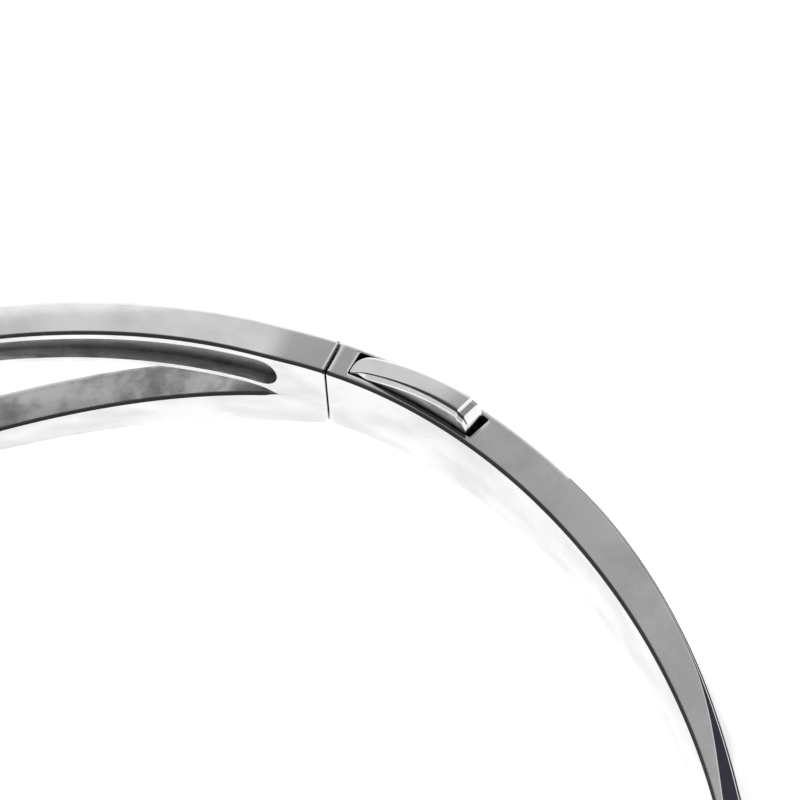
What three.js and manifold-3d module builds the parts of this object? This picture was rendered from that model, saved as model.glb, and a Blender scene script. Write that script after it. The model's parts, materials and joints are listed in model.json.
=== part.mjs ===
// Hinged oval bangle with a split front, a box clasp and a rocking thumb lever.
// Millimetres. +Z is the axis of the wrist opening and the bangle lies flat on its front strand.
// The hinge is at the +X end, the clasp at the -X end, the split front half faces -Y.

import * as THREE from "three";
import { mergeVertices } from "three/addons/utils/BufferGeometryUtils.js";
import Module from "manifold-3d";

// ---- Driving dimensions -------------------------------------------------------------------

const WRIST_LONG = 58; // inside, clasp to hinge
const WRIST_SHORT = 50; // inside, front to back
const OVAL_FULLNESS = 0.3; // how far the oval leans towards a rounded rectangle

const BAND_WIDTH = 3.1; // along Z
const SIDE_THICKNESS = 1.46; // radial, at the flat side edges
const CROWN = 0.4; // how far the outer face swells past the side edges
const SHOULDER = 0.75; // width of the rounded shoulder of the crown, along Z
const INNER_CHAMFER = 0.14; // on the edges that meet the wrist

const SEAM_ANGLE = 176; // degrees round the oval from +X
const SEAM_GAP = 0.06;

const CLASP_BLOCK_LENGTH = 1.7; // from the seam to the fork of the strands
const UPPER_FLARE = 3.78; // how far the upper strand rises past the band at the middle of the front
const UPPER_FLARE_START = 2.1; // from either end of the front half to where it begins to rise
const UPPER_FLARE_EASE = 0.6; // length over which it turns upwards
const LOWER_FLARE = 2.9; // how far the lower strand drops past the band
const LOWER_FLARE_POWER = 0.72; // below 1 it drops quickly and then runs nearly level
const LOWER_FLARE_SHARE = 0.9; // of the way to the middle of the front, where it is fully down
const UPPER_STRAND_WIDTH = [1.98, 1.67]; // at the fork, and where it has settled
const LOWER_STRAND_WIDTH = [1.78, 1.35];
const STRAND_SETTLING = 13; // length over which a strand reaches its settled width
const FORK_WEB = [0.15, 1.6]; // extra width of the upper strand at the fork, and where it has gone
const HOLLOW_RIM = 0.33; // wall left above and below the hollow back of the upper strand
const HOLLOW_DEPTH = 0.5;
const HOLLOW_START = 0.28; // from the fork to the round end of the hollow
const HOLLOW_ROUND = 2; // degrees of arc that its round end takes
const HOLLOW_END_OPENING = 0.15; // share of the full opening at the very end

const BOX_LENGTH = 9.95;
const BOX_THICKNESS = 1.6; // radial, at the end where the band begins
const BOX_CROWN_FADE = 0.75; // share of the crown that has gone by that end
const BRIDGE_LENGTH = 0.76; // from the seam to the lever recess
const BRIDGE_THICKNESS = 1.3; // along Z, from the upper side edge to the tongue's way in
const BOX_FLOOR = 0.45;
const RECESS_LENGTH = 5.45;
const RECESS_DEPTH = 0.82; // below the band's upper side edge
const RECESS_RIM = 0.3; // wall between the recess and the wrist
const RECESS_OUTER_WALL = 0.06; // flat left outside the recess, before the shoulder begins
const SPRING_POCKET = [1.5, 0.78]; // length and depth, under the thumb end
const SPRING_POCKET_WALLS = [0.15, 0.2]; // left inside the recess, towards the wrist and outwards

const LEVER_RISE = 0.9; // thumb end above the band's upper edge
const LEVER_BOW = 1.8; // above 1 the top rises quickly from the bridge and flattens to the thumb end
const LEVER_TRAVEL = 8; // degrees that it rocks down about its pin
const LEVER_SIDE_GAP = 0.04;
const LEVER_END_GAP = 0.2;
const LEVER_START_GAP = 0.05;
const LEVER_LEDGE = 0.45; // length of the step at the thumb end
const LEVER_STEP = 0.18; // that it lies below the top
const LEVER_END_BEVEL = 0.3;
const LEVER_FACET = [0.12, 0.25]; // along the wrist side of the top: width and height
const LEVER_EDGE = 0.08; // broken outer edge
const LEVER_UNDER_GAP = 0.05; // between its underside and the floor of the recess
const SPRING_THICKNESS = 0.16;
const SPRING_END_ROOMS = [0.06, 0.14]; // in its pocket, at the foot and at the free end
const SPRING_SIDE_ROOMS = [0.25, 0.3]; // inside the recess walls
const SPRING_FLOOR_GAP = 0.04;
const PIVOT_PLACE = 1.35; // from the seam
const PIVOT_DEPTH = 0.42; // below the band's upper side edge
const PIVOT_RADIUS = 0.17;
const PIN_CLEARANCE = 0.03;
const PIN_INSET = 0.14; // from the wrist face to the end of the pivot pin
const PIN_END_ROOM = 0.04;
const PIN_OUTER_GRIP = 0.25; // of the pin in the outer wall

const TONGUE_REACH = 4.0;
const TONGUE_INSET = 0.27; // from the wrist face to the tongue, at the seam
const TONGUE_THICKNESS = 0.45; // radial
const TONGUE_HEIGHT = 0.4; // of the rigid plate, along Z
const TONGUE_ROOT = 1.0; // soldered length inside the front block
const TONGUE_CLEARANCE = 0.08;
const TONGUE_TIP_ROOM = 0.4;
const PLATE_FLOOR_GAP = 0.1;
const LEAF_THICKNESS = 0.24;
const LEAF_CATCH = 0.22; // how far its sprung end stands above the underside of the bridge
const LEAF_END_GAP = 0.08; // from its sprung end to the bridge
const LEAF_BOW = 0.8;
const LEAF_SIDE_INSET = 0.02;
const FOOT_PLACE = 3.3; // from the seam, over the root of the leaf
const FOOT_LENGTH = 0.5;
const FOOT_SIDE_INSET = 0.04;

const BACK_BAND_THIN = 0.85; // radial thickness at the middle of the back
const BACK_CROWN = 0.08;
const OUTER_STRAND_THICKNESS = [0.14, 0.34, 0.8]; // at the box, where it has grown out, and full
const OUTER_STRAND_GROWTH = 3.2; // length over which it grows out
const OUTER_STRAND_INSET = 0.08; // along Z, from each side edge of the band
const OUTER_STRAND_LIFT = 0.3; // gap to the band at the middle of the back
const OUTER_STRAND_LIFT_START = 15; // from the box or the hinge block to where it leaves the band
const OUTER_STRAND_RIDGE = 0.15; // share of its thickness that stays flat at each side edge
const OUTER_STRAND_BELLY = [0.65, 0.55]; // shares of its thickness and half width, where it turns
const OUTER_BEVEL = [0.07, 0.7]; // on the band's outer upper edge: width near the box, and full
const OUTER_BEVEL_START = 8.5; // from the box to where it begins to widen
const OUTER_BEVEL_GROWTH = 8; // length over which it widens
const OUTER_BEVEL_TILT = 27; // degrees
const THINNING_LENGTH = 17; // length over which the band thins behind the box

const HINGE_FACE_GAP = 0.21; // from the barrels to the end faces of the blocks
const HINGE_BLOCK_LENGTH = 2.1;
const HINGE_BLOCK_CROWN = 0.1; // where it meets the band
const BARREL_RADIUS = 0.81;
const HINGE_PIN_RADIUS = 0.33;
const KNUCKLE_GAP = 0.06;
const PIN_STANDOUT = 0.05;
const WEB_WIDTH = 1.3; // of the web behind a barrel, in barrel radii
const WEB_GAP = 0.05; // from the web to the end face of its block

const SOLDER_GAP = 0.03;
const CUT_OVERLAP = 0.05; // how far one cut runs into the next, so that no skin is left between them
const CUT_PAST = 0.5; // how far a cut runs out past the face that it opens
const STEP_LENGTH = 1.7; // along the long strands
const FINE_STEP = 0.5; // along the short curved pieces
const LEVER_STEP_LENGTH = 0.35; // along the lever and its spring
const BLOCK_STEP = 1.2; // along the front blocks
const FORK_SPAN = 16; // degrees behind each fork with closer stations
const FORK_TURN = 2; // degrees between them
const FRONT_TURN = 5; // degrees between the others

// ---- Worked out from the driving dimensions -----------------------------------------------

const BAND_LOW = LOWER_FLARE;
const BAND_TOP = BAND_LOW + BAND_WIDTH;
const FULL_THICKNESS = SIDE_THICKNESS + CROWN;
const RECESS_FLOOR = BAND_TOP - RECESS_DEPTH;
const RECESS_OUTER = SIDE_THICKNESS - RECESS_OUTER_WALL;
const PIVOT_HEIGHT = BAND_TOP - PIVOT_DEPTH;
const BRIDGE_UNDERSIDE = BAND_TOP - BRIDGE_THICKNESS;
const TONGUE_WAY_FLOOR = BAND_LOW + BOX_FLOOR;
const PLATE_LOW = TONGUE_WAY_FLOOR + PLATE_FLOOR_GAP;
const PLATE_HIGH = PLATE_LOW + TONGUE_HEIGHT;
const HINGE_X = WRIST_LONG / 2 + FULL_THICKNESS - BARREL_RADIUS;
const FRONT_REACH = WRIST_SHORT / 2 + FULL_THICKNESS;
const BACK_REACH = WRIST_SHORT / 2 + BACK_BAND_THIN + OUTER_STRAND_LIFT + OUTER_STRAND_THICKNESS[2];
const CENTRE_Y = (FRONT_REACH - BACK_REACH) / 2; // puts the origin in the middle of the outline

const rad = THREE.MathUtils.degToRad;
const mix = THREE.MathUtils.lerp;
const smooth = (x) => THREE.MathUtils.smoothstep(x, 0, 1);

const silver = { color: 0xd9dadc, roughness: 0.12, metalness: 1 };
const brushed = { color: 0xb9babd, roughness: 0.35, metalness: 1 };
const spring = { color: 0xa9aaad, roughness: 0.3, metalness: 1 };

// ---- The oval -----------------------------------------------------------------------------
// The oval is given by its support distance at each normal angle, so that a point with an
// outward offset lies on a true parallel of the wrist opening.

const OVAL_MEAN = (WRIST_LONG + WRIST_SHORT) / 4 - OVAL_FULLNESS;
const OVAL_STRETCH = (WRIST_LONG - WRIST_SHORT) / 4;

function ovalPoint(angle, offset) {
  const a = rad(angle);
  const reach = OVAL_MEAN + OVAL_STRETCH * Math.cos(2 * a) + OVAL_FULLNESS * Math.cos(4 * a) + offset;
  const turn = -2 * OVAL_STRETCH * Math.sin(2 * a) - 4 * OVAL_FULLNESS * Math.sin(4 * a);
  return [reach * Math.cos(a) - turn * Math.sin(a), reach * Math.sin(a) + turn * Math.cos(a)];
}

// Length along the wrist face from angle 0.
function ovalLength(angle) {
  const a = rad(angle);
  const stretch = 1.5 * OVAL_STRETCH * Math.sin(2 * a);
  const fullness = 3.75 * OVAL_FULLNESS * Math.sin(4 * a);
  return OVAL_MEAN * a - stretch - fullness;
}

// The angle at a length along the wrist face from a starting angle.
function angleAt(start, length) {
  const target = ovalLength(start) + length;
  let low = start - 200;
  let high = start + 200;
  for (let i = 0; i < 50; i += 1) {
    const middle = (low + high) / 2;
    if (ovalLength(middle) < target) low = middle;
    else high = middle;
  }
  return (low + high) / 2;
}

const backAngle = (length) => angleAt(SEAM_ANGLE, -length); // from the seam into the back half
const frontAngle = (length) => angleAt(SEAM_ANGLE, length); // from the seam into the front half
const BACK_HINGE_FACE = angleAt(0, BARREL_RADIUS + HINGE_FACE_GAP);
const FRONT_HINGE_FACE = 360 - BACK_HINGE_FACE;
const HALF_BACK = (ovalLength(SEAM_ANGLE) - ovalLength(BACK_HINGE_FACE)) / 2;

// ---- Points on the arc that the tongue swings through ----------------------------------------
// Distance is measured from the seam into the box, and inset outwards from the wrist face.

const SEAM_POINT = ovalPoint(SEAM_ANGLE, 0);
const SWING_RADIUS = Math.hypot(SEAM_POINT[0] - HINGE_X, SEAM_POINT[1]);
const SWING_ANGLE = Math.atan2(SEAM_POINT[1], SEAM_POINT[0] - HINGE_X);

function swingPoint(distance, inset) {
  const angle = SWING_ANGLE - distance / SWING_RADIUS;
  const radius = SWING_RADIUS + inset;
  return [HINGE_X + radius * Math.cos(angle), radius * Math.sin(angle)];
}

// ---- Solids -------------------------------------------------------------------------------

// Evenly spaced stations from one end to the other, both included.
function stations(from, to, longestStep) {
  const count = Math.max(1, Math.ceil(Math.abs(to - from) / longestStep));
  return Array.from({ length: count + 1 }, (_, i) => mix(from, to, i / count));
}

// A closed solid through a row of outlines. place(station, offset) gives a point in plan, and
// outline(station) gives the section as [offset, height] points.
function sweep(stationList, place, outline) {
  const positions = [];
  const sections = stationList.map(outline);
  const corners = sections[0].length;
  sections.forEach((section, i) => {
    for (const [offset, height] of section) {
      const [x, y] = place(stationList[i], offset);
      positions.push(x, y, height);
    }
  });
  const index = [];
  for (let i = 0; i + 1 < sections.length; i += 1) {
    for (let j = 0; j < corners; j += 1) {
      const a = i * corners + j;
      const b = i * corners + ((j + 1) % corners);
      index.push(a, b, a + corners, b, b + corners, a + corners);
    }
  }
  const capFaces = (section) =>
    THREE.ShapeUtils.triangulateShape(section.map(([u, v]) => new THREE.Vector2(u, v)), []);
  const last = (sections.length - 1) * corners;
  for (const [a, b, c] of capFaces(sections[0])) index.push(a, c, b);
  for (const [a, b, c] of capFaces(sections.at(-1))) index.push(last + a, last + b, last + c);
  const geometry = new THREE.BufferGeometry();
  geometry.setAttribute("position", new THREE.Float32BufferAttribute(positions, 3));
  geometry.setIndex(signedVolume(positions, index) < 0 ? index.reverse() : index);
  return geometry;
}

function signedVolume(positions, index) {
  const a = new THREE.Vector3();
  const b = new THREE.Vector3();
  const c = new THREE.Vector3();
  let total = 0;
  for (let i = 0; i < index.length; i += 3) {
    a.fromArray(positions, index[i] * 3);
    b.fromArray(positions, index[i + 1] * 3);
    c.fromArray(positions, index[i + 2] * 3);
    total += a.dot(b.cross(c));
  }
  return total;
}

const wasm = await Module();
wasm.setup();

function toManifold(geometry) {
  const bare = geometry.clone();
  bare.deleteAttribute("normal");
  bare.deleteAttribute("uv");
  const merged = mergeVertices(bare, 1e-5);
  const vertProperties = new Float32Array(merged.attributes.position.array);
  const triVerts = new Uint32Array(merged.index.array);
  return new wasm.Manifold(new wasm.Mesh({ numProp: 3, vertProperties, triVerts }));
}

function toGeometry(solid) {
  const mesh = solid.getMesh();
  const geometry = new THREE.BufferGeometry();
  geometry.setAttribute("position", new THREE.BufferAttribute(mesh.vertProperties, mesh.numProp));
  geometry.setIndex(new THREE.BufferAttribute(mesh.triVerts, 1));
  return geometry;
}

function cut(geometry, ...cutters) {
  let solid = toManifold(geometry);
  for (const cutter of cutters) solid = solid.subtract(toManifold(cutter));
  return toGeometry(solid);
}

function join(geometry, ...others) {
  let solid = toManifold(geometry);
  for (const other of others) solid = solid.add(toManifold(other));
  return toGeometry(solid);
}

// An upright cylinder between two heights.
function post(x, y, radius, low, high) {
  const geometry = new THREE.CylinderGeometry(radius, radius, high - low, 28);
  geometry.rotateX(Math.PI / 2);
  geometry.translate(x, y, (low + high) / 2);
  return geometry;
}

// A cylinder that lies along the oval's normal, between two offsets.
function crossPin(angle, height, radius, inner, outer) {
  const geometry = new THREE.CylinderGeometry(radius, radius, outer - inner, 20);
  geometry.rotateZ(-Math.PI / 2);
  geometry.rotateZ(rad(angle));
  const [x, y] = ovalPoint(angle, (inner + outer) / 2);
  geometry.translate(x, y, height);
  return geometry;
}

const group = new THREE.Group();
group.position.y = CENTRE_Y;

function addPiece(name, geometry, finish) {
  geometry.computeVertexNormals();
  const mesh = new THREE.Mesh(geometry, new THREE.MeshStandardMaterial(finish));
  mesh.name = name;
  group.add(mesh);
}

// ---- Sections -----------------------------------------------------------------------------

// Flat sides, chamfered towards the wrist, with a crowned outer face.
function crownedSection(low, high, thickness, crown) {
  const shoulder = Math.min(SHOULDER, (high - low) * 0.4);
  const points = [[0, low + INNER_CHAMFER], [INNER_CHAMFER, low]];
  const arc = [0, 30, 60, 90].map(rad);
  for (const a of arc) {
    points.push([thickness + crown * Math.sin(a), low + shoulder * (1 - Math.cos(a))]);
  }
  for (const a of arc.reverse()) {
    points.push([thickness + crown * Math.sin(a), high - shoulder * (1 - Math.cos(a))]);
  }
  points.push([INNER_CHAMFER, high], [0, high - INNER_CHAMFER]);
  return points;
}

const squareSection = (low, high, inner, outer) => [[inner, low], [outer, low], [outer, high], [inner, high]];

// ---- Back half: clasp box, band, outer strand ------------------------------------------------

const RECESS_END = BRIDGE_LENGTH + RECESS_LENGTH;

const boxThickness = (length) => mix(SIDE_THICKNESS, BOX_THICKNESS, smooth(length / BOX_LENGTH));
const boxCrown = (length) => CROWN * (1 - BOX_CROWN_FADE * smooth(length / BOX_LENGTH));
const onBack = (length, offset) => ovalPoint(backAngle(length), offset);
const boxOutline = (length) => crownedSection(BAND_LOW, BAND_TOP, boxThickness(length), boxCrown(length));

function claspBox() {
  const body = sweep(stations(SEAM_GAP / 2, BOX_LENGTH, FINE_STEP), onBack, boxOutline);
  const tongueWay = (from, low, high) =>
    sweep(stations(from, TONGUE_REACH + TONGUE_TIP_ROOM, FINE_STEP), swingPoint, () =>
      squareSection(low, high, TONGUE_INSET - TONGUE_CLEARANCE,
        TONGUE_INSET + TONGUE_THICKNESS + TONGUE_CLEARANCE));
  const mouth = tongueWay(-CUT_PAST, TONGUE_WAY_FLOOR, BRIDGE_UNDERSIDE);
  const chamber = tongueWay(BRIDGE_LENGTH, TONGUE_WAY_FLOOR, RECESS_FLOOR + CUT_OVERLAP);
  const recess = sweep(stations(BRIDGE_LENGTH, RECESS_END, FINE_STEP), onBack, () =>
    squareSection(RECESS_FLOOR, BAND_TOP + CUT_PAST, RECESS_RIM, RECESS_OUTER));
  const [pocketLength, pocketDepth] = SPRING_POCKET;
  const [innerWall, outerWall] = SPRING_POCKET_WALLS;
  const springPocket = sweep(stations(RECESS_END - pocketLength, RECESS_END, FINE_STEP), onBack, () =>
    squareSection(RECESS_FLOOR - pocketDepth, RECESS_FLOOR + CUT_OVERLAP, RECESS_RIM + innerWall,
      RECESS_OUTER - outerWall));
  const pinHole = crossPin(backAngle(PIVOT_PLACE), PIVOT_HEIGHT, PIVOT_RADIUS + PIN_CLEARANCE,
    PIN_INSET - PIN_END_ROOM, FULL_THICKNESS + CUT_PAST);
  return cut(body, mouth, chamber, recess, springPocket, pinHole);
}
addPiece("clasp_box", claspBox(), silver);

// How far a place along the back has come from the box or the hinge block, whichever is nearer.
const backRun = (length) => Math.min(length - BOX_LENGTH, 2 * HALF_BACK - HINGE_BLOCK_LENGTH - length);
const backThickness = (length) =>
  mix(BOX_THICKNESS, BACK_BAND_THIN, smooth(backRun(length) / THINNING_LENGTH));
const BACK_END = 2 * HALF_BACK - HINGE_BLOCK_LENGTH;

// The bevel on the band's outer upper edge, as its width and how far down it reaches.
function outerBevel(length) {
  const width = mix(...OUTER_BEVEL, smooth((backRun(length) - OUTER_BEVEL_START) / OUTER_BEVEL_GROWTH));
  return [width, width * Math.tan(rad(OUTER_BEVEL_TILT))];
}

function backBandOutline(length) {
  const outer = backThickness(length) + BACK_CROWN;
  const [width, drop] = outerBevel(length);
  return [[INNER_CHAMFER, BAND_LOW], [outer, BAND_LOW], [outer, BAND_TOP - drop],
    [outer - width, BAND_TOP], [INNER_CHAMFER, BAND_TOP], [0, BAND_TOP - INNER_CHAMFER],
    [0, BAND_LOW + INNER_CHAMFER]];
}
addPiece("back_band", sweep(stations(BOX_LENGTH + SOLDER_GAP, BACK_END - SOLDER_GAP, STEP_LENGTH), onBack,
  backBandOutline), silver);

// The outer strand leaves the end of the box, lies on the band, lifts off it round the middle
// of the back and comes down again before the hinge block.
function outerStrand() {
  const span = stations(BOX_LENGTH + SOLDER_GAP, BACK_END - SOLDER_GAP, STEP_LENGTH);
  const liftLength = (BACK_END - BOX_LENGTH) / 2 - OUTER_STRAND_LIFT_START;
  const [bellyOut, bellyAlong] = OUTER_STRAND_BELLY;
  return sweep(span, onBack, (length) => {
    const run = backRun(length);
    const lift = OUTER_STRAND_LIFT * smooth((run - OUTER_STRAND_LIFT_START) / liftLength);
    const inner = backThickness(length) + BACK_CROWN + SOLDER_GAP + lift;
    const [start, grown, full] = OUTER_STRAND_THICKNESS;
    const growth = (grown - start) * smooth(run / OUTER_STRAND_GROWTH);
    const thickness = start + growth + (full - grown) * smooth(run / THINNING_LENGTH);
    const low = BAND_LOW + OUTER_STRAND_INSET;
    const high = BAND_TOP - OUTER_STRAND_INSET - outerBevel(length)[1];
    const ridge = inner + OUTER_STRAND_RIDGE * thickness;
    const belly = inner + bellyOut * thickness;
    const middle = (low + high) / 2;
    const turn = bellyAlong * (high - low) / 2;
    return [[inner, low], [ridge, low], [belly, middle - turn], [inner + thickness, middle],
      [belly, middle + turn], [ridge, high], [inner, high]];
  });
}
addPiece("back_outer_strand", outerStrand(), silver);

addPiece("back_hinge_block", sweep(stations(BACK_END, 2 * HALF_BACK, FINE_STEP), onBack, (length) => {
  const share = smooth((length - BACK_END) / HINGE_BLOCK_LENGTH);
  return crownedSection(BAND_LOW, BAND_TOP, mix(BOX_THICKNESS, SIDE_THICKNESS, share),
    mix(HINGE_BLOCK_CROWN, CROWN, share));
}), silver);

// ---- Push lever, its pin, foot and spring --------------------------------------------------

const LEVER_START = BRIDGE_LENGTH + LEVER_START_GAP;
const LEVER_END = RECESS_END - LEVER_END_GAP;
const LEVER_INNER = RECESS_RIM + LEVER_SIDE_GAP;
const LEVER_OUTER = RECESS_OUTER - LEVER_SIDE_GAP;

// The underside slopes up from the pin, so that the pressed lever lies flat in the recess.
function leverUnderside(length) {
  return RECESS_FLOOR + LEVER_UNDER_GAP + Math.max(0, length - PIVOT_PLACE) * Math.tan(rad(LEVER_TRAVEL));
}

const LEVER_SUMMIT = BAND_TOP + LEVER_RISE;
const LEDGE_START = LEVER_END - LEVER_LEDGE;

function leverTop(length) {
  const rising = THREE.MathUtils.clamp((length - LEVER_START) / (LEDGE_START - LEVER_START), 0, 1);
  return BAND_TOP + LEVER_RISE * (1 - Math.pow(1 - rising, LEVER_BOW));
}

function leverOutline(length, top) {
  const [facetWidth, facetHeight] = LEVER_FACET;
  const under = leverUnderside(length);
  return [[LEVER_INNER, under], [LEVER_OUTER, under], [LEVER_OUTER, top - LEVER_EDGE],
    [LEVER_OUTER - LEVER_EDGE, top], [LEVER_INNER + facetWidth, top], [LEVER_INNER, top - facetHeight]];
}

function pushLever() {
  const heel = stations(LEVER_START, PIVOT_PLACE, LEVER_STEP_LENGTH);
  const arm = stations(PIVOT_PLACE, LEDGE_START, LEVER_STEP_LENGTH).slice(1);
  const body = sweep([...heel, ...arm], onBack, (length) => leverOutline(length, leverTop(length)));
  const step = sweep([LEDGE_START - CUT_OVERLAP, LEVER_END - LEVER_END_BEVEL, LEVER_END], onBack, (length) =>
    leverOutline(length, LEVER_SUMMIT - LEVER_STEP - Math.max(0, length - LEVER_END + LEVER_END_BEVEL)));
  const pinHole = crossPin(backAngle(PIVOT_PLACE), PIVOT_HEIGHT, PIVOT_RADIUS + PIN_CLEARANCE,
    -CUT_PAST, FULL_THICKNESS + CUT_PAST);
  return cut(join(body, step), pinHole);
}
addPiece("push_lever", pushLever(), silver);

addPiece("lever_pivot_pin", crossPin(backAngle(PIVOT_PLACE), PIVOT_HEIGHT, PIVOT_RADIUS,
  PIN_INSET, RECESS_OUTER + PIN_OUTER_GRIP), brushed);

// Underside of the tongue's leaf: it folds back from the tip of the plate and rises to stand
// behind the bridge.
function leafLow(distance) {
  const end = BRIDGE_LENGTH + LEAF_END_GAP;
  const share = (TONGUE_REACH - distance) / (TONGUE_REACH - end);
  const catchLow = BRIDGE_UNDERSIDE + LEAF_CATCH - LEAF_THICKNESS;
  return mix(PLATE_HIGH + SOLDER_GAP, catchLow, Math.pow(share, LEAF_BOW));
}

const FOOT_FROM = FOOT_PLACE - FOOT_LENGTH / 2;
const FOOT_BOTTOM = leafLow(FOOT_FROM) + LEAF_THICKNESS + SOLDER_GAP;
addPiece("lever_foot", sweep(stations(FOOT_FROM, FOOT_FROM + FOOT_LENGTH, FINE_STEP), swingPoint, () =>
  squareSection(FOOT_BOTTOM, leverUnderside(FOOT_FROM) - SOLDER_GAP, TONGUE_INSET + FOOT_SIDE_INSET,
    TONGUE_INSET + TONGUE_THICKNESS)), brushed);

// A bent strip that stands in its pocket under the thumb end and carries the lever.
function leverSpring() {
  const [pocketLength, pocketDepth] = SPRING_POCKET;
  const [footRoom, endRoom] = SPRING_END_ROOMS;
  const [innerRoom, outerRoom] = SPRING_SIDE_ROOMS;
  const from = RECESS_END - footRoom;
  const to = RECESS_END - pocketLength + endRoom;
  return sweep(stations(from, to, LEVER_STEP_LENGTH), onBack, (length) => {
    const share = smooth((from - length) / (from - to));
    const standing = leverUnderside(to) - SOLDER_GAP - SPRING_THICKNESS;
    const low = mix(RECESS_FLOOR - pocketDepth + SPRING_FLOOR_GAP, standing, share);
    return squareSection(low, low + SPRING_THICKNESS, RECESS_RIM + innerRoom, RECESS_OUTER - outerRoom);
  });
}
addPiece("lever_spring", leverSpring(), spring);

// ---- Front half: clasp block, strands, tongue -------------------------------------------------

const HALF_FRONT = (ovalLength(FRONT_HINGE_FACE) - ovalLength(SEAM_ANGLE)) / 2;

// How far a place round the front is from the seam or from the hinge face, whichever is nearer.
const frontRun = (angle) =>
  Math.min(ovalLength(angle) - ovalLength(SEAM_ANGLE), ovalLength(FRONT_HINGE_FACE) - ovalLength(angle));

// The upper strand runs level out of the block and then rises steadily to the middle of the front.
function upperSpread(angle) {
  const past = frontRun(angle) - UPPER_FLARE_START;
  const eased = (past + Math.hypot(past, UPPER_FLARE_EASE)) / 2;
  const share = Math.min(1, eased / (HALF_FRONT - UPPER_FLARE_START));
  return UPPER_FLARE * Math.sin((Math.PI / 2) * share);
}

// The lower strand drops at once and then levels out.
function lowerSpread(angle) {
  const middle = (SEAM_ANGLE + FRONT_HINGE_FACE) / 2;
  const fromEnd = Math.min(angle - SEAM_ANGLE, FRONT_HINGE_FACE - angle) / (middle - SEAM_ANGLE);
  const share = THREE.MathUtils.clamp(fromEnd / LOWER_FLARE_SHARE, 0, 1);
  return LOWER_FLARE * Math.sin((Math.PI / 2) * Math.pow(share, LOWER_FLARE_POWER));
}

const frontLow = (angle) => BAND_LOW - lowerSpread(angle);
const frontTop = (angle) => BAND_TOP + upperSpread(angle);
const frontBlockOutline = (angle) => crownedSection(frontLow(angle), frontTop(angle), SIDE_THICKNESS, CROWN);

const CLASP_FORK = frontAngle(CLASP_BLOCK_LENGTH);
const HINGE_FORK = angleAt(FRONT_HINGE_FACE, -HINGE_BLOCK_LENGTH);
const CLASP_FACE = frontAngle(SEAM_GAP / 2);

// Stations closer together near both forks, where the strands part quickly.
function frontStations(from, to) {
  return [...stations(from, from + FORK_SPAN, FORK_TURN),
    ...stations(from + FORK_SPAN, to - FORK_SPAN, FRONT_TURN).slice(1, -1),
    ...stations(to - FORK_SPAN, to, FORK_TURN)];
}

const fromFork = (angle) =>
  Math.min(ovalLength(angle) - ovalLength(CLASP_FORK), ovalLength(HINGE_FORK) - ovalLength(angle));

const settled = (widths, angle) => mix(...widths, smooth(fromFork(angle) / STRAND_SETTLING));

const STRAND_FROM = frontAngle(CLASP_BLOCK_LENGTH + SOLDER_GAP);
const STRAND_TO = angleAt(FRONT_HINGE_FACE, -HINGE_BLOCK_LENGTH - SOLDER_GAP);
const lowerHigh = (angle) => frontLow(angle) + settled(LOWER_STRAND_WIDTH, angle);

// The upper strand is thicker close to the fork, so that the opening begins as a narrow point.
function upperLow(angle) {
  const [webWidth, webLength] = FORK_WEB;
  const web = webWidth * (1 - smooth(fromFork(angle) / webLength));
  const low = frontTop(angle) - settled(UPPER_STRAND_WIDTH, angle) - web;
  return Math.max(low, lowerHigh(angle) + SOLDER_GAP);
}

function upperStrand() {
  const solid = sweep(frontStations(STRAND_FROM, STRAND_TO), ovalPoint, (angle) =>
    crownedSection(upperLow(angle), frontTop(angle), SIDE_THICKNESS, CROWN));
  const from = frontAngle(CLASP_BLOCK_LENGTH + HOLLOW_START);
  const to = angleAt(FRONT_HINGE_FACE, -HINGE_BLOCK_LENGTH - HOLLOW_START);
  const rounding = [0, 0.25, 0.6].map((share) => share * HOLLOW_ROUND);
  const hollow = sweep(
    [...rounding.map((turn) => from + turn), ...frontStations(from + HOLLOW_ROUND, to - HOLLOW_ROUND),
      ...rounding.reverse().map((turn) => to - turn)],
    ovalPoint,
    (angle) => {
      const nearEnd = THREE.MathUtils.clamp(Math.min(angle - from, to - angle) / HOLLOW_ROUND, 0, 1);
      const opening = Math.max(Math.sqrt(1 - (1 - nearEnd) ** 2), HOLLOW_END_OPENING);
      const middle = (upperLow(angle) + frontTop(angle)) / 2;
      const half = ((frontTop(angle) - upperLow(angle)) / 2 - HOLLOW_RIM) * opening;
      return squareSection(middle - half, middle + half, -CUT_PAST, HOLLOW_DEPTH);
    },
  );
  return cut(solid, hollow);
}
addPiece("front_upper_strand", upperStrand(), silver);

addPiece("front_lower_strand", sweep(frontStations(STRAND_FROM, STRAND_TO), ovalPoint, (angle) =>
  crownedSection(frontLow(angle), lowerHigh(angle), SIDE_THICKNESS, CROWN)), silver);

function tongueBar(from, to, low, high, ease) {
  return sweep(stations(from, to, FINE_STEP), swingPoint, () =>
    squareSection(low - ease, high + ease, TONGUE_INSET - ease, TONGUE_INSET + TONGUE_THICKNESS + ease));
}

function frontClaspBlock() {
  const body = sweep(stations(CLASP_FACE, CLASP_FORK, BLOCK_STEP), ovalPoint, frontBlockOutline);
  const pocket = tongueBar(CUT_PAST, -TONGUE_ROOT - SOLDER_GAP, PLATE_LOW, PLATE_HIGH, SOLDER_GAP);
  return cut(body, pocket);
}
addPiece("front_clasp_block", frontClaspBlock(), silver);

addPiece("tongue_plate", tongueBar(-TONGUE_ROOT, TONGUE_REACH, PLATE_LOW, PLATE_HIGH, 0), brushed);

function tongueSpringLeaf() {
  const places = stations(TONGUE_REACH, BRIDGE_LENGTH + LEAF_END_GAP, FINE_STEP);
  return sweep(places, swingPoint, (distance) => {
    const low = leafLow(distance);
    return squareSection(low, low + LEAF_THICKNESS, TONGUE_INSET + LEAF_SIDE_INSET,
      TONGUE_INSET + TONGUE_THICKNESS - LEAF_SIDE_INSET);
  });
}
addPiece("tongue_spring_leaf", tongueSpringLeaf(), spring);

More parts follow.
